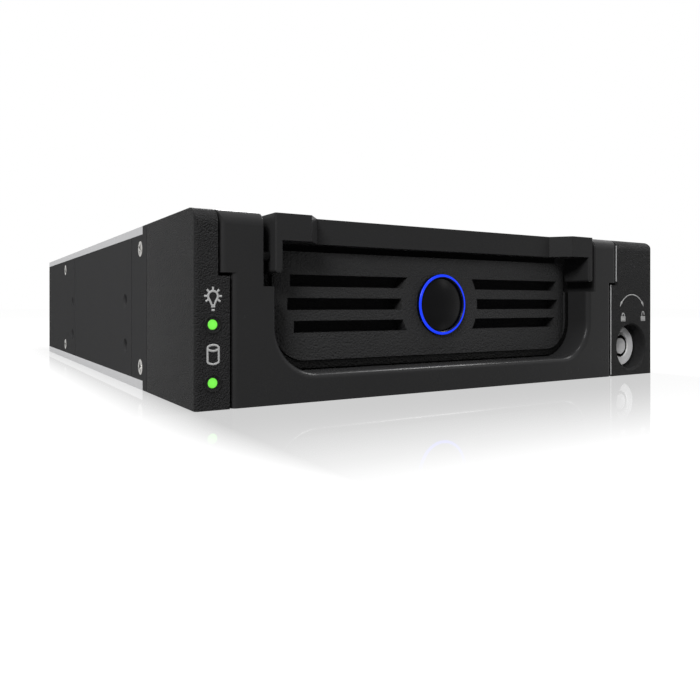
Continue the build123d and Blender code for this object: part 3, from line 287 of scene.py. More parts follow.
pipe = {
    "x": -69.3,
    "lower": 5.4,
    "upper": 16.9,
    "radius": 1.5,
    "colour": (0.03, 0.2, 0.02),
    "rimShade": 0.5,
    "middle": (0.17, 0.80, 0.05),
    "rim": (0.07, 0.42, 0.03),
    "fall": 3,
    "roughness": 0.25,
    "gloss": 0.1,
}
ring = {
    "front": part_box("ring_light")[0].y,
    "middle": (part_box("ring_light")[0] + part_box("ring_light")[1]) / 2,
    "inner": 6.98,
    "lit": 0.2,
    "colour": (0.003, 0.01, 0.12),
    "dark": (0.002, 0.003, 0.012),
    "glow": (0.009, 0.045, 1.0),
    "roughness": 0.3,
    "gloss": 0.1,
    "specular": 0.1,
}
finishes = {
    "black_plastic": mouldedPlastic(
        "blackMoulding",
        (0.022, 0.022, 0.0225),
        spread=0.08, roughness=0.27, gloss=0.08, cells=2600, depth=0.000016, specular=0.085,
    ),
    "textured_plastic": mouldedPlastic(
        "grainedPanel",
        (0.028, 0.028, 0.0285),
        spread=0.15, roughness=0.42, gloss=0.08, cells=2100, depth=0.00020, specular=0.09,
    ),
    "button_plastic": mouldedPlastic(
        "buttonMoulding",
        (0.0035, 0.0035, 0.004),
        spread=0.10, roughness=0.24, gloss=0.06, cells=2600, depth=0.000002, specular=0.06,
    ),
    "latch_plastic": mouldedPlastic(
        "acetal",
        (0.006, 0.006, 0.006),
        spread=0.10, roughness=0.4, gloss=0.1, cells=2600, depth=0.00001, specular=0.1,
    ),
    "guide_plastic": mouldedPlastic(
        "guideMoulding",
        (0.03, 0.03, 0.031),
        spread=0.08, roughness=0.5, gloss=0.1, cells=2200, depth=0.00002,
    ),
    "connector_plastic": mouldedPlastic(
        "connectorShell",
        (0.012, 0.012, 0.0125),
        spread=0.08, roughness=0.5, gloss=0.08, cells=3000, depth=0.00001,
    ),
    "fan_plastic": mouldedPlastic(
        "fanMoulding",
        (0.020, 0.020, 0.021),
        spread=0.08, roughness=0.42, gloss=0.1, cells=2600, depth=0.00002,
    ),
    "lamp_plastic": mouldedPlastic(
        "lampBody",
        (0.8, 0.8, 0.74),
        spread=0.03, roughness=0.3, gloss=0.05, cells=3000, depth=0.000005,
    ),
    "black_steel": rolledMetal(
        "blackPlate",
        (0.045, 0.045, 0.046),
        spread=0.06, roughness=0.85, gloss=0.06, depth=0.000004, metallic=0.0, across=1500, specular=0.05,
    ),
    "tray_steel": rolledMetal(
        "brightZinc",
        (0.55, 0.55, 0.56),
        spread=0.12, roughness=0.38, gloss=0.15, depth=0.000008,
    ),
    "cover_aluminium": rolledMetal(
        "anodisedSheet",
        (0.52, 0.52, 0.53),
        spread=0.06, roughness=0.46, gloss=0.1, depth=0.00001, metallic=0.8,
    ),
    "screw_steel": rolledMetal(
        "nickelPlate",
        (0.42, 0.41, 0.39),
        spread=0.10, roughness=0.30, gloss=0.1, depth=0.000003, metallic=1.0, across=5000,
    ),
    # the lock's face is a near-white matt colour: a painted reflection standing in for the bright chrome
    "lock_chrome": rolledMetal(
        "lockPaintedReflection",
        (0.95, 0.95, 0.955),
        spread=0.03, roughness=0.4, gloss=0.05, depth=0.000001, metallic=0.0, across=6000, specular=0.1,
    ),
    "bearing_brass": rolledMetal(
        "sinteredBronze",
        (0.60, 0.42, 0.20),
        spread=0.15, roughness=0.4, gloss=0.1, depth=0.000005,
    ),
    "circuit_board": mouldedPlastic(
        "solderMask",
        (0.012, 0.12, 0.045),
        spread=0.12, roughness=0.3, gloss=0.08, cells=900, depth=0.00001,
    ),
    "green_lamp": lampPlastic("lowerLamp", pipe, pipe["lower"]),
    "blue_light": ringPlastic("blueRing", ring),
}
ownFinish = {  # pieces whose finish differs a little from the others of their slot
    "front_bezel": mouldedPlastic(
        "grainedBezel",
        (0.0255, 0.0255, 0.026),
        spread=0.14, roughness=0.44, gloss=0.10, cells=3100, depth=0.00032, specular=0.025,
    ),
    "handle": mouldedPlastic(
        "handleMoulding",
        (0.026, 0.026, 0.0265),
        spread=0.08, roughness=0.3, gloss=0.08, cells=2600, depth=0.00002, specular=0.05,
    ),
    "upper_light_pipe": lampPlastic("upperLamp", pipe, pipe["upper"]),
}
# painted shade: the near-black colour and the outline of the lip it covers
lipShade = {"middle": -5.9, "half": 47.7, "low": 8.35, "corner": 7.8, "colour": (0.003, 0.003, 0.003)}
ownFinish["vent_panel"] = panelWithLipShade("panelWithLipShade", finishes["textured_plastic"], lipShade)
contactGold = rolledMetal(
    "contactGold",
    (0.85, 0.62, 0.25),
    spread=0.05, roughness=0.25, gloss=0.1, depth=0.000002, metallic=1.0, across=6000,
)
chipResin = mouldedPlastic(
    "chipResin",
    (0.015, 0.015, 0.016),
    spread=0.08, roughness=0.6, gloss=0.08, cells=4000, depth=0.000008, specular=0.3,
)
chipCeramic = mouldedPlastic(
    "chipCeramic",
    (0.36, 0.27, 0.18),
    spread=0.08, roughness=0.5, gloss=0.08, cells=4000, depth=0.000005, specular=0.4,
)
# dark matt colour for the sheet behind the slots: painted shade
slotShadeMatt = mouldedPlastic(
    "slotShadeMatt",
    (0.022, 0.022, 0.023),
    spread=0.3, roughness=0.9, gloss=0.05, cells=3500, depth=0.00012, specular=0.05,
)
# near-black matt colour for the strip behind the handle's bar: painted shade
barShadeMatt = mouldedPlastic(
    "barShadeMatt",
    (0.003, 0.003, 0.003),
    spread=0.3, roughness=0.95, gloss=0.05, cells=3500, depth=0.00006, specular=0.02,
)
# light grey glossy colour for the seam's bead: a painted highlight
seamHighlightFinish = mouldedPlastic(
    "seamHighlightFinish",
    (0.36, 0.36, 0.365),
    spread=0.05, roughness=0.18, gloss=0.04, cells=2600, depth=0.000001, specular=0.9,
)
print("finishes made:", len(finishes))
slotOf = {entry["node"]: entry["material_slot"] for entry in frame["record"]["subparts"]}
for name, slotName in slotOf.items():
    piece = bpy.data.objects[name]
    piece.data.materials.clear()
    piece.data.materials.append(ownFinish.get(name, finishes[slotName]))

# ink of the printed signs
ink = {"dark": (0.40, 0.40, 0.40), "light": (0.50, 0.50, 0.50), "roughness": 0.5, "gloss": 0.1}
printInk, tree, shader = newMaterial("printInk")
handled = placeGroup(tree, handledGroup, Roughness=ink["roughness"], Spread=ink["gloss"])
shade(tree, handled.outputs["Cloud"], ink["dark"], ink["light"], shader.inputs["Base Color"])
tree.links.new(handled.outputs["Roughness"], shader.inputs["Roughness"])


def arcStroke(x, z, radius, start, end, steps=14, flat=1.0):
    turns = [radians(start + (end - start) * i / steps) for i in range(steps + 1)]
    return [(x + radius * cos(turn), z + flat * radius * sin(turn)) for turn in turns]


# a round line along each path of x, z and perhaps a size, in the plane y = 0
def lineMesh(name, radius, resolution, paths):
    curve = bpy.data.curves.new(name, "CURVE")
    curve.dimensions = "3D"
    curve.bevel_depth = radius * mm
    curve.bevel_resolution = resolution
    curve.use_fill_caps = True
    for path in paths:
        spline = curve.splines.new("POLY")
        spline.points.add(len(path) - 1)
        for point, place in zip(spline.points, path):
            point.co = (place[0] * mm, 0, place[1] * mm, 1)
            point.radius = place[2] if len(place) > 2 else 1.0
        if path[0][:2] == path[-1][:2]:
            spline.use_cyclic_u = True
    drawn = bpy.data.objects.new(name + "Drawn", curve)
    bpy.context.collection.objects.link(drawn)
    mesh = bpy.data.meshes.new_from_object(drawn.evaluated_get(bpy.context.evaluated_depsgraph_get()))
    bpy.data.objects.remove(drawn)
    mesh.materials.clear()
    return mesh


def addPiece(name, mesh, finish, body):
    piece = bpy.data.objects.new(name, mesh)
    bpy.context.collection.objects.link(piece)
    mesh.materials.append(finish)
    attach(piece, body)
    return piece


def printSign(name, sign):
    mesh = lineMesh(name, sign["line"] / 2, 2, sign["strokes"])
    place = Matrix.Translation((leftX + sign["x"] * mm, frontY, sign["z"] * mm))
    mesh.transform(place @ Matrix.Diagonal((1, sign["thickness"] / sign["line"], 1, 1)))
    addPiece(name, mesh, printInk, "cage")


lampSign = {
    "x": 3.76,
    "z": 22.5,
    "line": 0.42,
    "thickness": 0.06,
    "rays": {"turns": (-35, 0, 45, 90, 135, 180, 215), "ends": (1.2, 1.85)},
    "strokes": [
        [(-0.42, -1.3)] + arcStroke(0, 0, 1.0, 215, -35) + [(0.42, -1.3)],
        [(-0.42, -1.3), (-0.3, -1.75), (0.3, -1.75), (0.42, -1.3)],
        [(-0.42, -2.05), (0.42, -2.05)],
        [(-0.32, -2.75), (0.32, -2.75)],
    ],
}
for turn in lampSign["rays"]["turns"]:
    way = Vector((cos(radians(turn)), sin(radians(turn))))
    lampSign["strokes"].append([tuple(way * end) for end in lampSign["rays"]["ends"]])
printSign("lampSign", lampSign)

driveSign = {
    "x": 3.79,
    "z": 11.0,
    "line": 0.42,
    "thickness": 0.06,
    "strokes": [
        arcStroke(0, 1.3, 1.17, 0, 360, 24, 0.5)[:-1] + [(1.17, 1.3)],
        [(-1.17, 1.3), (-1.17, -1.3)],
        arcStroke(0, -1.3, 1.17, 180, 360, 12, 0.5),
        [(1.17, 1.3), (1.17, -1.3)],
    ],
}
printSign("driveSign", driveSign)

# the arc over the lock, with an arrow's head that widens from its tip at each end
turnSign = {
    "x": 136.35,
    "z": 17.6,
    "line": 0.3,
    "thickness": 0.05,
    "radius": 6.27,
    "ends": (27, 153),
    "heads": ((26, 41), (154, 139)),
    "headSizes": (0.15, 1.0, 2.0, 2.8, 2.6),
}
turnSign["strokes"] = [arcStroke(0, 0, turnSign["radius"], *turnSign["ends"], 26)]
for tip, root in turnSign["heads"]:
    head = arcStroke(0, 0, turnSign["radius"], tip, root, 4)
    turnSign["strokes"].append([(x, z, size) for (x, z), size in zip(head, turnSign["headSizes"])])
printSign("turnSign", turnSign)

# two padlocks: half width and height of the body, lines that fill it, the loop and how far it is lifted
padlock = {
    "z": 16.7,
    "line": 0.3,
    "thickness": 0.05,
    "wide": 0.95,
    "tall": 0.62,
    "fill": (0, -0.3, 0.3),
    "loop": 0.55,
    "neck": 0.45,
    "places": {"closedLockSign": (132.2, 0), "openLockSign": (141.7, 0.45)},
}
for name, (x, lift) in padlock["places"].items():
    wide, tall, loop = padlock["wide"], padlock["tall"], padlock["loop"]
    arch = arcStroke(0, tall + padlock["neck"] + lift, loop, 180, 0)
    strokes = [[(-wide, -tall), (wide, -tall), (wide, tall), (-wide, tall), (-wide, -tall)]]
    strokes += [[(-wide, z), (wide, z)] for z in padlock["fill"]]
    strokes.append([(-loop, tall)] + arch + [(loop, tall + lift)])
    printSign(name, dict(padlock, x=x, strokes=strokes))
print("signs printed")


def newPiece(name, bm, finish, body):
    mesh = bpy.data.meshes.new(name)
    bmesh.ops.recalc_face_normals(bm, faces=bm.faces)
    bm.to_mesh(mesh)
    bm.free()
    mesh.shade_smooth()
    mesh.set_sharp_from_angle(angle=radians(35))
    return addPiece(name, mesh, finish, body)


def softenEdges(bm, edges, offset, segments=2):
    rounding = {"offset": offset, "segments": segments, "profile": 0.5, "affect": "EDGES", "material": -1}
    bmesh.ops.bevel(bm, geom=edges, **rounding)


def spinRound(bm, geom, axis, steps):
    turned = {"cent": (0, 0, 0), "axis": axis, "angle": radians(360), "steps": steps, "use_merge": True}
    bmesh.ops.spin(bm, geom=geom, **turned)


# the single shape, used up, is copied to each of the places
def copiesOf(single, places):
    shape = bpy.data.meshes.new("copiedShape")
    single.to_mesh(shape)
    single.free()
    bm = bmesh.new()
    for place in places:
        shape.transform(place)
        bm.from_mesh(shape)
        shape.transform(place.inverted())
    bpy.data.meshes.remove(shape)
    return bm


# one screw with its head's top at the origin, turned and carried to its place
def addScrew(bm, screw, place, outward, turn):
    before = set(bm.verts)
    high = screw["high"] * mm
    cone = {"radius1": screw["under"] * mm, "radius2": screw["head"] * mm, "depth": high, "segments": 28}
    hang = Matrix.Translation((0, 0, -high / 2))
    made = bmesh.ops.create_cone(bm, cap_ends=True, matrix=hang, **cone)
    faces = {face for vert in made["verts"] for face in vert.link_faces}
    top = max(faces, key=lambda face: face.calc_center_median().z)
    foot = min(faces, key=lambda face: face.calc_center_median().z)
    step = max(screw["under"] - screw["shank"], screw["leastStep"])
    bmesh.ops.inset_region(bm, faces=[foot], thickness=step * mm)
    shank = bmesh.ops.extrude_face_region(bm, geom=[foot])
    tip = [item for item in shank["geom"] if isinstance(item, bmesh.types.BMVert)]
    bmesh.ops.translate(bm, verts=tip, vec=(0, 0, (screw["high"] - screw["length"]) * mm))
    softenEdges(bm, list(top.edges), screw["soft"] * mm)
    flats = [face for face in bm.faces if face.verts[0] not in before and face.normal.z > 0.99]
    top = max(flats, key=lambda face: face.calc_area())
    bmesh.ops.inset_region(bm, faces=[top], thickness=screw["rim"] * mm)
    region = [top]
    half = screw["slot"] / 2 * mm
    for normal in ((1, 0, 0), (0, 1, 0)):
        for side in (-half, half):
            cut = region + list({edge for face in region for edge in face.edges})
            cut += list({vert for face in region for vert in face.verts})
            plane = {"plane_co": Vector(normal) * side, "plane_no": normal}
            split = bmesh.ops.bisect_plane(bm, geom=cut, dist=1e-7, **plane)
            region = [item for item in split["geom"] if isinstance(item, bmesh.types.BMFace)]
    centres = {face: face.calc_center_median() for face in region}
    cross = [face for face, centre in centres.items() if min(abs(centre.x), abs(centre.y)) < half]
    sunk = bmesh.ops.extrude_face_region(bm, geom=cross)
    floorVerts = [item for item in sunk["geom"] if isinstance(item, bmesh.types.BMVert)]
    bmesh.ops.translate(bm, verts=floorVerts, vec=(0, 0, -screw["deep"] * mm))
    bmesh.ops.scale(bm, verts=floorVerts, vec=(screw["taper"], screw["taper"], 1))
    facing = Vector(outward).to_track_quat("Z", "Y").to_matrix().to_4x4()
    carry = Matrix.Translation(Vector(place) * mm) @ facing @ Matrix.Rotation(radians(turn), 4, "Z")
    bmesh.ops.transform(bm, matrix=carry, verts=[vert for vert in bm.verts if vert not in before])


flatScrew = {  # head, under and shank are radii
    "head": 1.94,
    "under": 1.0,
    "shank": 0.98,
    "leastStep": 0.02,
    "high": 0.94,
    "length": 2.8,
    "soft": 0.06,
    "rim": 0.75,
    "slot": 0.5,
    "deep": 0.7,
    "taper": 0.6,
}
panScrew = dict(flatScrew, head=2.2, under=2.2, shank=1.4, high=1.2, length=11.0, soft=0.45, rim=0.35)
panScrew.update(slot=0.6, deep=0.8)
coverScrew = dict(flatScrew, length=2.0)
guideScrew = dict(flatScrew, length=3.4)
headTurns = {"first": 23, "step": 37}
sides = [(side, y, z) for side in (-1, 1) for y in (-56.7, 53.7) for z in (5.5, 34.6)]
sidePlaces = [((side * 73.0, y, z), (side, 0, 0)) for side, y, z in sides]
coverPlaces = [((x, 90.2, z), (0, 0, up)) for x in (-48.0, 48.0) for z, up in ((0, -1), (40.0, 1))]
guidePlaces = [((x, y, 0), (0, 0, -1)) for x in (-63.8, 63.8) for y in (-36.3, 53.7)]
fanPlaces = [((x, 96.4, z), (0, 1, 0)) for x in (-52.7, -23.7) for z in (5.5, 34.5)]
screwSets = {
    "sideScrewHeads": ("side_screws", flatScrew, sidePlaces),
    "coverScrewHeads": ("rear_screws", coverScrew, coverPlaces),
    "guideScrewHeads": ("guide_screws", guideScrew, guidePlaces),
    "fanScrewHeads": ("fan_screws", panScrew, fanPlaces),
}
for name, (node, screw, places) in screwSets.items():
    bm = bmesh.new()
    for index, (place, outward) in enumerate(places):
        addScrew(bm, screw, place, outward, headTurns["first"] + headTurns["step"] * index)
    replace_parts(newPiece(name, bm, finishes["screw_steel"], "cage"), node)
print("screw heads made")


def addBlock(bm, low, high, soft):
    size = Vector(high) - Vector(low)
    middle = (Vector(high) + Vector(low)) / 2
    place = Matrix.Translation(middle * mm) @ Matrix.Diagonal((*(size * mm), 1))
    made = bmesh.ops.create_cube(bm, size=1, matrix=place)
    softenEdges(bm, list({edge for vert in made["verts"] for edge in vert.link_edges}), soft * mm, 1)


# gold contacts on the connectors' tongues: 7 for data and 15 for power
contact = {"pitch": 1.27, "half": 0.4, "below": 0.05, "above": 0.12, "soft": 0.04}
contactRows = {
    "dataPlugContacts": {"count": 7, "x": 6.0, "y": (81.6, 92.4), "z": 14.5},
    "powerPlugContacts": {"count": 15, "x": 29.0, "y": (81.6, 92.4), "z": 14.5},
    "drivePowerContacts": {"count": 15, "x": 6.0, "y": (72.4, 76.6), "z": 8.2},
    "driveDataContacts": {"count": 7, "x": 27.0, "y": (72.4, 76.6), "z": 8.2},
}
for name, row in contactRows.items():
    bm = bmesh.new()
    for index in range(row["count"]):
        x = row["x"] + contact["pitch"] * (index - (row["count"] - 1) / 2)
        low = (x - contact["half"], row["y"][0], row["z"] - contact["below"])
        high = (x + contact["half"], row["y"][1], row["z"] + contact["above"])
        addBlock(bm, low, high, contact["soft"])
    newPiece(name, bm, contactGold, "cage")

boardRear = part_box("backplane_board")[1].y / mm
chips = [
    {"x": 54.0, "z": 30.0, "width": 9.0, "height": 9.0, "thick": 1.1},
    {"x": 52.0, "z": 8.0, "width": 6.4, "height": 5.0, "thick": 1.6},
    {"x": 8.0, "z": 27.0, "width": 5.0, "height": 4.0, "thick": 1.2},
]
chipSoft = 0.15
leg = {"pitch": 0.8, "inside": 0.1, "reach": 0.9, "half": 0.17, "thick": 0.3, "soft": 0.05}
legs = bmesh.new()
cases = bmesh.new()
for chip in chips:
    halfWide, halfHigh = chip["width"] / 2, chip["height"] / 2
    low = (chip["x"] - halfWide, boardRear, chip["z"] - halfHigh)
    high = (chip["x"] + halfWide, boardRear + chip["thick"], chip["z"] + halfHigh)
    addBlock(cases, low, high, chipSoft)
    legCount = int(chip["height"] / leg["pitch"])
    for index in range(legCount):
        z = chip["z"] + leg["pitch"] * (index - (legCount - 1) / 2)
        for side in (-1, 1):
            ends = [chip["x"] + side * (halfWide + reach) for reach in (-leg["inside"], leg["reach"])]
            low = (min(ends), boardRear, z - leg["half"])
            high = (max(ends), boardRear + leg["thick"], z + leg["half"])
            addBlock(legs, low, high, leg["soft"])
newPiece("boardChips", cases, chipResin, "cage")
newPiece("chipLegs", legs, finishes["screw_steel"], "cage")

# small capacitors: a ceramic block with a metal cap over each end
block = {"wide": 0.5, "high": 0.6, "thick": 0.75, "soft": 0.06}
cap = {"wide": 0.52, "from": 0.5, "to": 0.95, "thick": 0.78, "soft": 0.06}
blockPlaces = [(-3.2, 12.4), (-3.2, 15.6), (14.9, 12.2), (14.9, 15.4), (43.0, 12.0), (43.0, 15.2)]
blockPlaces += [(5.0, 19.2), (9.0, 19.2), (22.0, 19.2), (27.0, 19.2), (34.0, 19.2)]
blockPlaces += [(4.0, 9.0), (12.0, 9.0), (24.0, 9.0), (33.0, 9.0), (47.0, 20.0)]
ceramics = bmesh.new()
metalEnds = bmesh.new()
for x, z in blockPlaces:
    low = (x - block["wide"], boardRear, z - block["high"])
    high = (x + block["wide"], boardRear + block["thick"], z + block["high"])
    addBlock(ceramics, low, high, block["soft"])
    for side in (-1, 1):
        ends = [z + side * cap["from"], z + side * cap["to"]]
        low = (x - cap["wide"], boardRear, min(ends))
        high = (x + cap["wide"], boardRear + cap["thick"], max(ends))
        addBlock(metalEnds, low, high, cap["soft"])
newPiece("boardCapacitors", ceramics, chipCeramic, "cage")
newPiece("capacitorEnds", metalEnds, finishes["screw_steel"], "cage")

# upright capacitor cans with a groove pressed in near their foot
can = {
    "radius": 2.5,
    "length": 5.4,
    "sides": 32,
    "groove": (-2.0, -1.0),
    "waist": 0.88,
    "soft": 0.3,
    "places": ((61.0, 9.0), (61.0, 15.5), (-6.5, 31.0)),
}
single = bmesh.new()
size = {"radius1": can["radius"] * mm, "radius2": can["radius"] * mm, "depth": can["length"] * mm}
bmesh.ops.create_cone(single, cap_ends=True, segments=can["sides"], **size)
single.normal_update()
rises = {edge: abs(edge.verts[0].co.z - edge.verts[1].co.z) for edge in single.edges}
walls = [edge for edge, rise in rises.items() if rise > can["length"] / 2 * mm]
bmesh.ops.subdivide_edges(single, edges=walls, cuts=6)
groove = [vert for vert in single.verts if can["groove"][0] * mm < vert.co.z < can["groove"][1] * mm]
bmesh.ops.scale(single, verts=groove, vec=(can["waist"], can["waist"], 1))
caps = [face for face in single.faces if len(face.verts) == can["sides"]]
softenEdges(single, list({edge for face in caps for edge in face.edges}), can["soft"] * mm, 3)
lying = Matrix.Rotation(radians(-90), 4, "X")
canY = boardRear + can["length"] / 2
stands = [Matrix.Translation((x * mm, canY * mm, z * mm)) @ lying for x, z in can["places"]]
newPiece("capacitorCans", copiesOf(single, stands), finishes["tray_steel"], "cage")
print("connector contacts and board parts made")

# dark rims round the lamps: painted shade, dark rings standing in for the shade in each lamp's
# countersink
rim = {"radius": 1.68, "line": 0.2}
upright = Matrix.Rotation(radians(90), 4, "X")
single = bmesh.new()
made = bmesh.ops.create_circle(single, segments=6, radius=rim["line"] * mm, matrix=upright)
bmesh.ops.translate(single, verts=made["verts"], vec=(rim["radius"] * mm, 0, 0))
spinRound(single, list(single.verts) + list(single.edges), (0, 0, 1), 40)
lampSpots = [(pipe["x"] * mm, frontY, pipe[which] * mm) for which in ("lower", "upper")]
shadeRims = copiesOf(single, [Matrix.Translation(spot) @ upright for spot in lampSpots])
newPiece("lampShadeRims", shadeRims, finishes["latch_plastic"], "cage")

# dark lining of the lock's round keyway, a sleeve with a floor round the pin: painted shade, a dark sheet
# standing in for the shade in the groove round the pin
keywayShade = {
    "x": 63.0,
    "z": 8.4,
    "inner": 3.24,
    "outer": 3.34,
    "pin": 2.4,
    "front": -92.45,
    "rear": -87.0,
    "floor": -87.1,
}
profile = [
    (keywayShade["inner"], keywayShade["front"]),
    (keywayShade["outer"], keywayShade["front"]),
    (keywayShade["outer"], keywayShade["rear"]),
    (keywayShade["pin"], keywayShade["rear"]),
    (keywayShade["pin"], keywayShade["floor"]),
    (keywayShade["inner"], keywayShade["floor"]),
]
bm = bmesh.new()
corners = [bm.verts.new((radius * mm, y * mm, 0)) for radius, y in profile]
edges = [bm.edges.new((corners[i - 1], corners[i])) for i in range(len(corners))]
spinRound(bm, corners + edges, (0, 1, 0), 64)
bmesh.ops.translate(bm, verts=bm.verts, vec=(keywayShade["x"] * mm, 0, keywayShade["z"] * mm))
newPiece("keywayShadeLining", bm, finishes["latch_plastic"], "cage")

# dark matt sheet behind the slots, cut out round the ring's collar: painted shade standing in for the
# slots' dark inside
slotShade = {"low": (-52.0, 9.0), "high": (40.5, 30.0), "y": -86.45, "thick": 0.2, "hole": 9.2, "corners": 48}
bm = bmesh.new()
hoop = bmesh.ops.create_circle(bm, segments=slotShade["corners"], radius=slotShade["hole"] * mm, matrix=upright)
middle = ring["middle"]
bmesh.ops.translate(bm, verts=hoop["verts"], vec=(middle.x, slotShade["y"] * mm, middle.z))
outer = bmesh.ops.create_circle(bm, segments=slotShade["corners"], radius=1, matrix=upright)
for vert in outer["verts"]:
    reach = max(abs(vert.co.x), abs(vert.co.z))
    vert.co.x = middle.x + vert.co.x / reach * (slotShade["high"][0] - slotShade["low"][0]) / 2 * mm
    vert.co.z = middle.z + vert.co.z / reach * (slotShade["high"][1] - slotShade["low"][1]) / 2 * mm
    vert.co.y = slotShade["y"] * mm
bmesh.ops.bridge_loops(bm, edges=bm.edges)
bmesh.ops.solidify(bm, geom=list(bm.faces), thickness=slotShade["thick"] * mm)
newPiece("slotShadeSheet", bm, slotShadeMatt, "carrier")

# near-black strip on the wall behind the handle's bar: painted shade under the bar
barShade = {"low": (-52.5, -86.85, 32.75), "high": (40.7, -86.68, 39.2), "soft": 0.05}
bm = bmesh.new()
addBlock(bm, barShade["low"], barShade["high"], barShade["soft"])
newPiece("handleShadeStrip", bm, barShadeMatt, "carrier")

# lacquered skin over the button's dome
dome = {"radius": 6.5, "front": -91.91, "fall": 1.12, "thick": 0.05, "steps": 14}
bend = (dome["radius"] ** 2 + dome["fall"] ** 2) / (2 * dome["fall"])
bm = bmesh.new()
line = []
for step in range(dome["steps"] + 1):
    out = dome["radius"] * step / dome["steps"]
    line.append(bm.verts.new((out * mm, (dome["front"] + bend - (bend ** 2 - out ** 2) ** 0.5) * mm, 0)))
edges = [bm.edges.new(pair) for pair in zip(line, line[1:])]
spinRound(bm, line + edges, (0, 1, 0), 64)
bmesh.ops.remove_doubles(bm, verts=bm.verts, dist=1e-7)
bmesh.ops.recalc_face_normals(bm, faces=bm.faces)
bmesh.ops.solidify(bm, geom=list(bm.faces), thickness=dome["thick"] * mm)
bmesh.ops.translate(bm, verts=bm.verts, vec=(ring["middle"].x, 0, ring["middle"].z))
newPiece("buttonSkin", bm, finishes["button_plastic"], "button")

# light grey bead along the carrier's right seam: a painted highlight of light caught on its edge
seamHighlight = {"radius": 0.16, "paths": ([(53.62, 0.5), (53.62, 26.6)], [(56.1, 27.7), (56.1, 38.2)])}
mesh = lineMesh("seamHighlightBead", seamHighlight["radius"], 3, seamHighlight["paths"])
mesh.transform(Matrix.Translation((0, frontY + seamHighlight["radius"] * mm, 0)))
addPiece("seamHighlightBead", mesh, seamHighlightFinish, "carrier")
# the rims, linings and felts are painted shade, and the seam bead is a painted highlight
print("rims, linings, felts and seam bead made")

# the camera's place is measured from the foot of the cage's front face, at its middle
view = {
    "place": (-115.53, -120.03, 20.68),
    "turn": -30.04,
    "lens": 33.28,
    "sensor": 36,
    "shift": (0.05, -0.06374),
    "nearest": 5,
}
camera = bpy.data.objects.new("camera", bpy.data.cameras.new("camera"))
camera.data.lens = view["lens"]
camera.data.sensor_width = view["sensor"]
camera.data.shift_x, camera.data.shift_y = view["shift"]
camera.data.clip_start = view["nearest"] * mm
camera.location = Vector(view["place"]) * mm + Vector((0, frontY, 0))
camera.rotation_euler = (radians(90), 0, radians(view["turn"]))
bpy.context.collection.objects.link(camera)
bpy.context.scene.camera = camera


# 1 for what the camera sees, straight or in a reflection, and 0 for light on its way to other surfaces
def seenDirectly(tree):
    path = addNode(tree, "ShaderNodeLightPath").outputs
    seen = mathNode(tree, "MAXIMUM", path["Is Camera Ray"], path["Is Glossy Ray"])
    return mathNode(tree, "MAXIMUM", seen, path["Is Transmission Ray"])


# where it is seen the floor is white and mirrors near the object; to all other light it is a dark matt
floorLook = {
    "size": 4.0,
    "drop": 0.05,
    "own": 0.975,
    "lit": 0.1,
    "roughness": 0.03,
    "mirror": 0.46,
    "beside": 14.0,
    "before": 63.0,
    "hold": 2.3,
    "elsewhere": 0.12,
}
floorMesh = bpy.data.meshes.new("floor")
bm = bmesh.new()
bmesh.ops.create_grid(bm, x_segments=1, y_segments=1, size=floorLook["size"])
bm.to_mesh(floorMesh)
bm.free()
floor = bpy.data.objects.new("floor", floorMesh)
floor.location.z = -floorLook["drop"] * mm
bpy.context.collection.objects.link(floor)
floorFinish, tree, shader = newMaterial("floorFinish")
tree.nodes.remove(shader)
glow = addNode(tree, "ShaderNodeEmission")
glow.inputs["Strength"].default_value = floorLook["own"]
matte = addNode(tree, "ShaderNodeBsdfDiffuse")
matte.inputs["Color"].default_value = (*[floorLook["lit"]] * 3, 1)
pale = addNode(tree, "ShaderNodeAddShader")
tree.links.new(glow.outputs[0], pale.inputs[0])
tree.links.new(matte.outputs[0], pale.inputs[1])
shine = addNode(tree, "ShaderNodeBsdfGlossy")
shine.inputs["Roughness"].default_value = floorLook["roughness"]

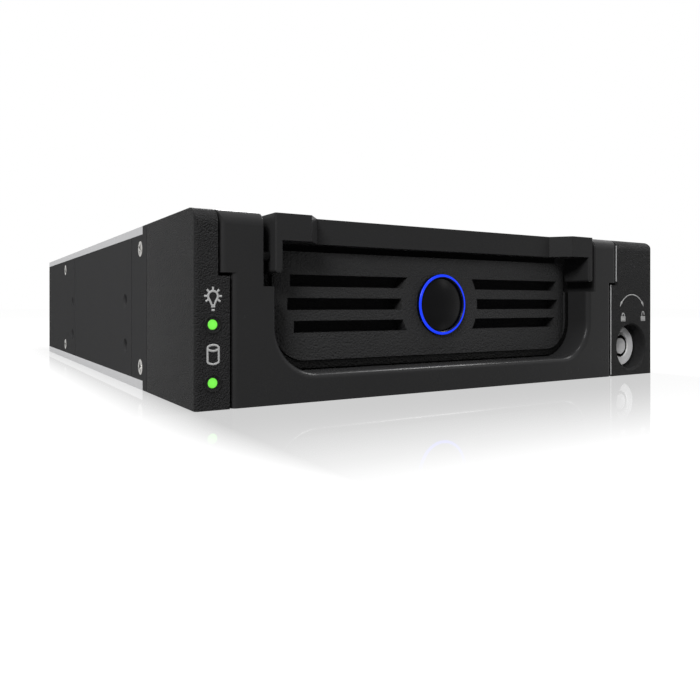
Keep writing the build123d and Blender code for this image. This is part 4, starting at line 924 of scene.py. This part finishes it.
# the polish fades with the distance from the object
across, along, _ = objectPlace(tree)
beside = mathNode(tree, "SUBTRACT", mathNode(tree, "ABSOLUTE", across), cadBox[1][0])
before = mathNode(tree, "SUBTRACT", mathNode(tree, "ABSOLUTE", along), cadBox[1][1])
beside = mathNode(tree, "DIVIDE", mathNode(tree, "MAXIMUM", beside, 0), floorLook["beside"] * mm)
before = mathNode(tree, "DIVIDE", mathNode(tree, "MAXIMUM", before, 0), floorLook["before"] * mm)
away = mathNode(tree, "ADD", beside, mathNode(tree, "POWER", before, floorLook["hold"]), True)
polish = mathNode(tree, "MULTIPLY", mathNode(tree, "SUBTRACT", 1, away), floorLook["mirror"])
polished = addNode(tree, "ShaderNodeMixShader")
tree.links.new(polish, polished.inputs[0])
tree.links.new(pale.outputs[0], polished.inputs[1])
tree.links.new(shine.outputs[0], polished.inputs[2])
quiet = addNode(tree, "ShaderNodeBsdfDiffuse")
quiet.inputs["Color"].default_value = (*[floorLook["elsewhere"]] * 3, 1)
chosen = addNode(tree, "ShaderNodeMixShader")
tree.links.new(seenDirectly(tree), chosen.inputs[0])
tree.links.new(quiet.outputs[0], chosen.inputs[1])
tree.links.new(polished.outputs[0], chosen.inputs[2])
tree.links.new(chosen.outputs[0], tree.nodes["Material Output"].inputs["Surface"])
floorMesh.materials.append(floorFinish)

# the world is white where it is seen and dim where it lights
world = bpy.data.worlds.new("studio")
bpy.context.scene.world = world
world.use_nodes = True
tree = world.node_tree
background = tree.nodes["Background"]
background.inputs["Color"].default_value = (1, 1, 1, 1)
lighting = 0.13
more = mathNode(tree, "MULTIPLY", seenDirectly(tree), 1 - lighting)
tree.links.new(mathNode(tree, "ADD", more, lighting), background.inputs["Strength"])

lampAim = Vector((0, -0.05, 0.02))
lamps = {
    "overhead": {"place": (-0.04, -0.20, 0.60), "size": 0.14, "power": 1.4},
    "right": {"place": (0.42, -0.12, 0.54), "size": 0.16, "power": 2.4},
    "left": {"place": (-0.36, -0.33, 0.30), "size": 0.16, "power": 2.2},
    "glint": {"place": (0.42, -0.46, 0.30), "size": 0.12, "power": 0.12},
    "rear": {"place": (0.25, 0.62, 0.36), "size": 0.25, "power": 2.2},
}
for name, lamp in lamps.items():
    light = bpy.data.lights.new(name, "AREA")
    light.size = lamp["size"]
    light.energy = lamp["power"]
    lampObject = bpy.data.objects.new(name, light)
    lampObject.location = lamp["place"]
    lampObject.rotation_euler = (lampAim - lampObject.location).to_track_quat("-Z", "Y").to_euler()
    bpy.context.collection.objects.link(lampObject)
bpy.context.scene.view_settings.view_transform = "Standard"
print("camera and light set")
